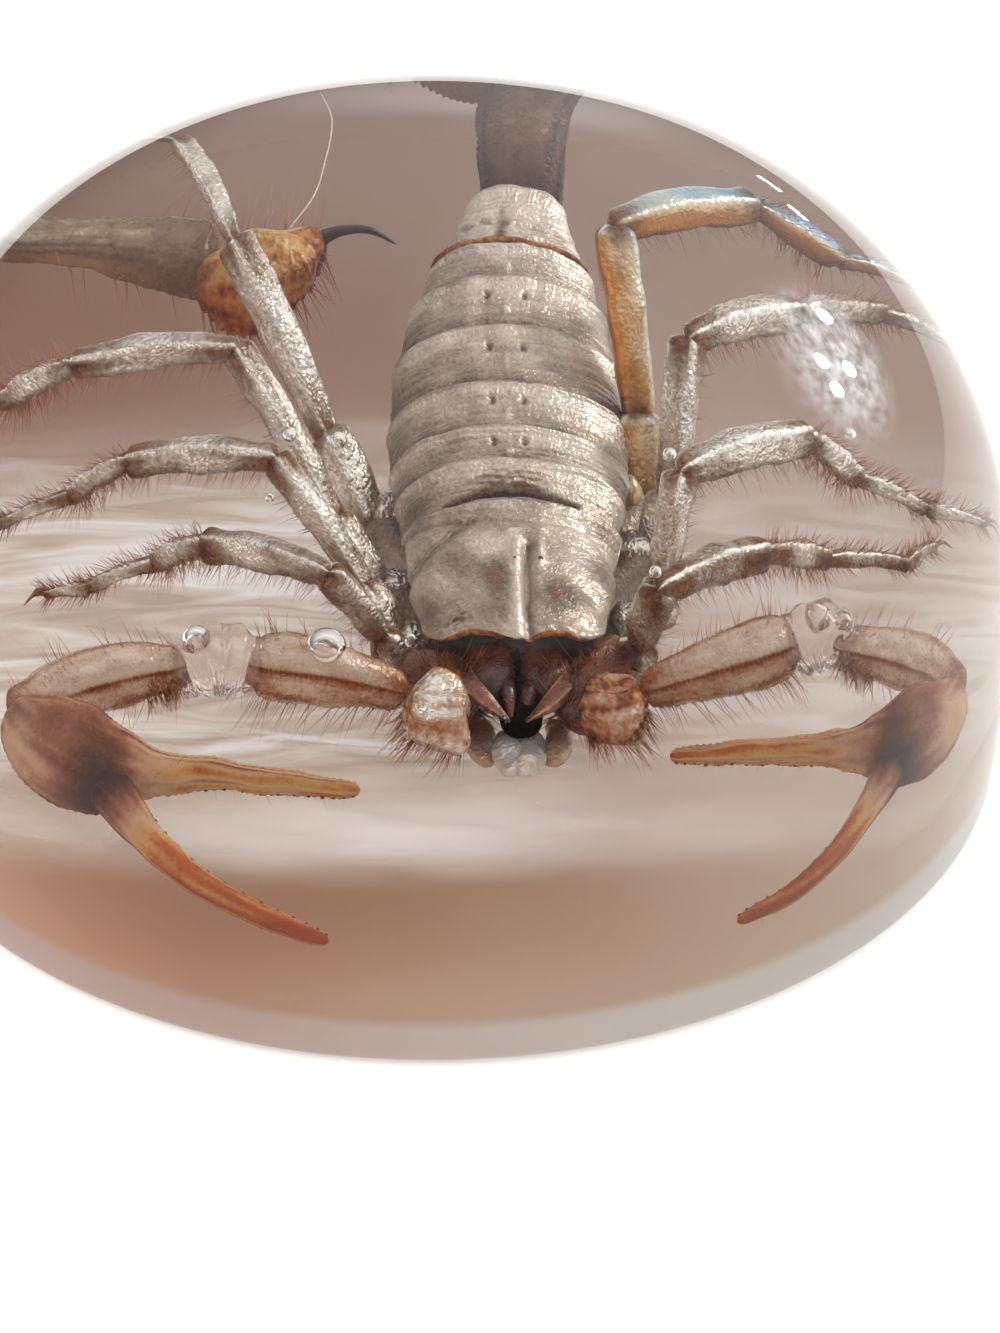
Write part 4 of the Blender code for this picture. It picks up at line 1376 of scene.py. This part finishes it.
# %% Floor
floor_material, tree, spot = material("pale_paper_floor")
fibre = node(tree, "TexNoise", {"Vector": spot, "Scale": 1.2 * PER_MM, "Detail": 3.0})
felt = node(tree, "Bump", {"Height": fibre, "Strength": 0.15, "Distance": 0.05 * MM})
paper = node(tree, "BsdfPrincipled", {"Base Color": colour("#F4F2EF"), "Roughness": 0.85, "Normal": felt})
node(tree, "OutputMaterial", {"Surface": paper})

bpy.ops.mesh.primitive_grid_add(x_subdivisions=4, y_subdivisions=4, size=3.0, location=(0, 0.6, -0.0002))
floor = bpy.context.object
floor.name = "floor"
floor.data.materials.append(floor_material)

# A bright screen stands round the floor's edge for views from low down. Only the camera sees it.
screen_paper, tree, _ = material("lit_paper_screen")
lit = node(tree, "Emission", {"Color": colour("#FBFAF8"), "Strength": 1.0})
node(tree, "OutputMaterial", {"Surface": lit})
bpy.ops.mesh.primitive_cylinder_add(
    vertices=96, radius=1.48, depth=3.2, end_fill_type="NOTHING", location=(0, 0.6, 1.599))
screen = bpy.context.object
screen.name = "screen"
screen.data.materials.append(screen_paper)
for ray in ("diffuse", "glossy", "transmission", "volume_scatter", "shadow"):
    setattr(screen, "visible_" + ray, False)
print("floor and screen ready")

# %% Surround
world = bpy.data.worlds.new("studio")
bpy.context.scene.world = world
world.use_nodes = True
world.cycles.sampling_method = "NONE"
tree = world.node_tree
sky = tree.nodes["Background"]
way = node(tree, "TexCoord").outputs["Generated"]
towards = node(tree, "VectorMath", {0: way, 1: (0.34, 0.12, 0.93)}, operation="DOT_PRODUCT").outputs["Value"]
room = ramp(tree, remap(tree, towards, -0.5, 1.0), [
    (0.0, "#7A716B"), (0.36, "#857C76"), (0.6, "#D2CDC8"), (0.85, "#F6F3EF"), (1.0, "#FFFFFF")])
tree.links.new(room.outputs[0], sky.inputs["Color"])
sky.inputs["Strength"].default_value = 1.0
print("surround ready, brightest above and to the right")

# %% Lamps
def softbox(name, place, size, power, shade="#FFF6EA", aim=(0, 0, 8), shape="RECTANGLE", **seen):
    """An area light at `place` mm that faces the aim point. `seen` says of a kind of ray, such as
    camera or glossy, whether it meets the light, and a kind that isn't named does."""
    lamp = bpy.data.lights.new(name, "AREA")
    lamp.shape, lamp.size, lamp.size_y = shape, size[0] * MM, size[1] * MM
    lamp.energy, lamp.color = power, colour(shade)[:3]
    light = bpy.data.objects.new(name, lamp)
    light.location = Vector(place) * MM
    light.rotation_euler = (Vector(aim) - Vector(place)).to_track_quat("-Z", "Y").to_euler()
    for ray, wanted in seen.items():
        setattr(light, "visible_" + ray, wanted)
    bpy.context.scene.collection.objects.link(light)
    return light


def linked(name, members, state="INCLUDE"):
    """A collection for light linking: only its members, or all but them with EXCLUDE."""
    group = bpy.data.collections.new(name)
    for member in members:
        group.objects.link(member)
    for entry in group.collection_objects:
        entry.light_linking.link_state = state
    return group


resin_pieces = [bpy.data.objects[name] for name in ("resin_surface", "pour_seam")]
only_resin = linked("only_resin", resin_pieces)
only_floor = linked("only_floor", [floor])
only_animal = linked("all_but_resin_and_floor", [*resin_pieces, floor], "EXCLUDE")

INSIDE = {"camera": False, "transmission": False}
key = softbox("key_right_back", (210, 120, 190), (60, 60), 0.58, "#FFF6EC", **INSIDE)
fill = softbox("fill_left_front", (-190, -120, 70), (120, 80), 0.12, "#FFD9B0", **INSIDE)
for light in (key, fill):
    light.light_linking.receiver_collection = only_animal
glow = softbox("resin_glow_above", (60, -60, 300), (200, 200), 0.6, "#FFFCFA", glossy=False, **INSIDE)
glow.light_linking.receiver_collection = only_resin
glow.light_linking.blocker_collection = only_floor
floor_light = bpy.data.objects.new("floor_light", bpy.data.lights.new("floor_light", "SUN"))
floor_light.data.energy, floor_light.data.angle = 2.2, math.radians(60)
floor_light.light_linking.receiver_collection = only_floor
bpy.context.scene.collection.objects.link(floor_light)
print("lamps", [light.name for light in (key, fill, glow, floor_light)])

# %% [markdown]
# On the crown's right shoulder a cluster of round glints stands in a haze. Four round lamps and
# a dull window with a leafy pattern mirror there, and two strips give small glints further back.
# Each stands where the ray from the camera goes after the crown has mirrored it, and only glossy
# rays see it.

# %% Glints
GLINT = {"diffuse": False, "transmission": False, "camera": False}
HIGHLIGHT = (14, -10, 21)
for k, place in enumerate([(221, 168, 147), (244, 117, 165), (253, 130, 137), (261, 98, 152)]):
    softbox(f"round_lamp_{k + 1}", place, (15, 15), 0.045, shape="ELLIPSE", aim=HIGHLIGHT, **GLINT)
for place in ((122, 277, 57), (147, 261, 75)):
    softbox("strip_lamp", place, (13, 4), 0.008, aim=(8, 8, 20), **GLINT)
window = softbox("dull_window", (252, 122, 155), (200, 170), 1.5, "#E6F4FA", aim=HIGHLIGHT, **GLINT)
window.data.use_nodes = True
tree = window.data.node_tree
pane = node(tree, "NewGeometry").outputs["Parametric"]
leaves = node(tree, "TexNoise", {"Vector": pane, "Scale": 11.0, "Detail": 5.0, "Roughness": 0.65})
middle = node(tree, "VectorMath", {0: pane, 1: (0.5, 0.5, 0.0)}, operation="DISTANCE").outputs["Value"]
soft_edge = remap(tree, middle, 0.5, 0.1, soft=True)
shine = maths(tree, "MULTIPLY", ramp(tree, leaves, [(0.36, 0.08), (0.7, 1.0)]), soft_edge)
tree.links.new(shine.outputs[0], tree.nodes["Emission"].inputs["Strength"])

# %% [markdown]
# The Standard view shows the colours as they are given. Light passes the crown, the seam, thin
# horn and the crown again, so the ways through clear things need more bounces than the others.

# %% Render settings that belong to the look
scene = bpy.context.scene
scene.view_settings.view_transform = "Standard"
scene.cycles.use_denoising = True
scene.cycles.use_adaptive_sampling = True
scene.cycles.adaptive_threshold = 0.08
scene.cycles.max_bounces = 11
scene.cycles.transmission_bounces = 9
scene.cycles.glossy_bounces = 4
scene.cycles.diffuse_bounces = 3
scene.cycles.transparent_max_bounces = 16
scene.cycles.sample_clamp_indirect = 6.0
print("bounces", scene.cycles.max_bounces, "through clear things", scene.cycles.transmission_bounces)

print("pieces", len(made), "faces", sum(made.values()))
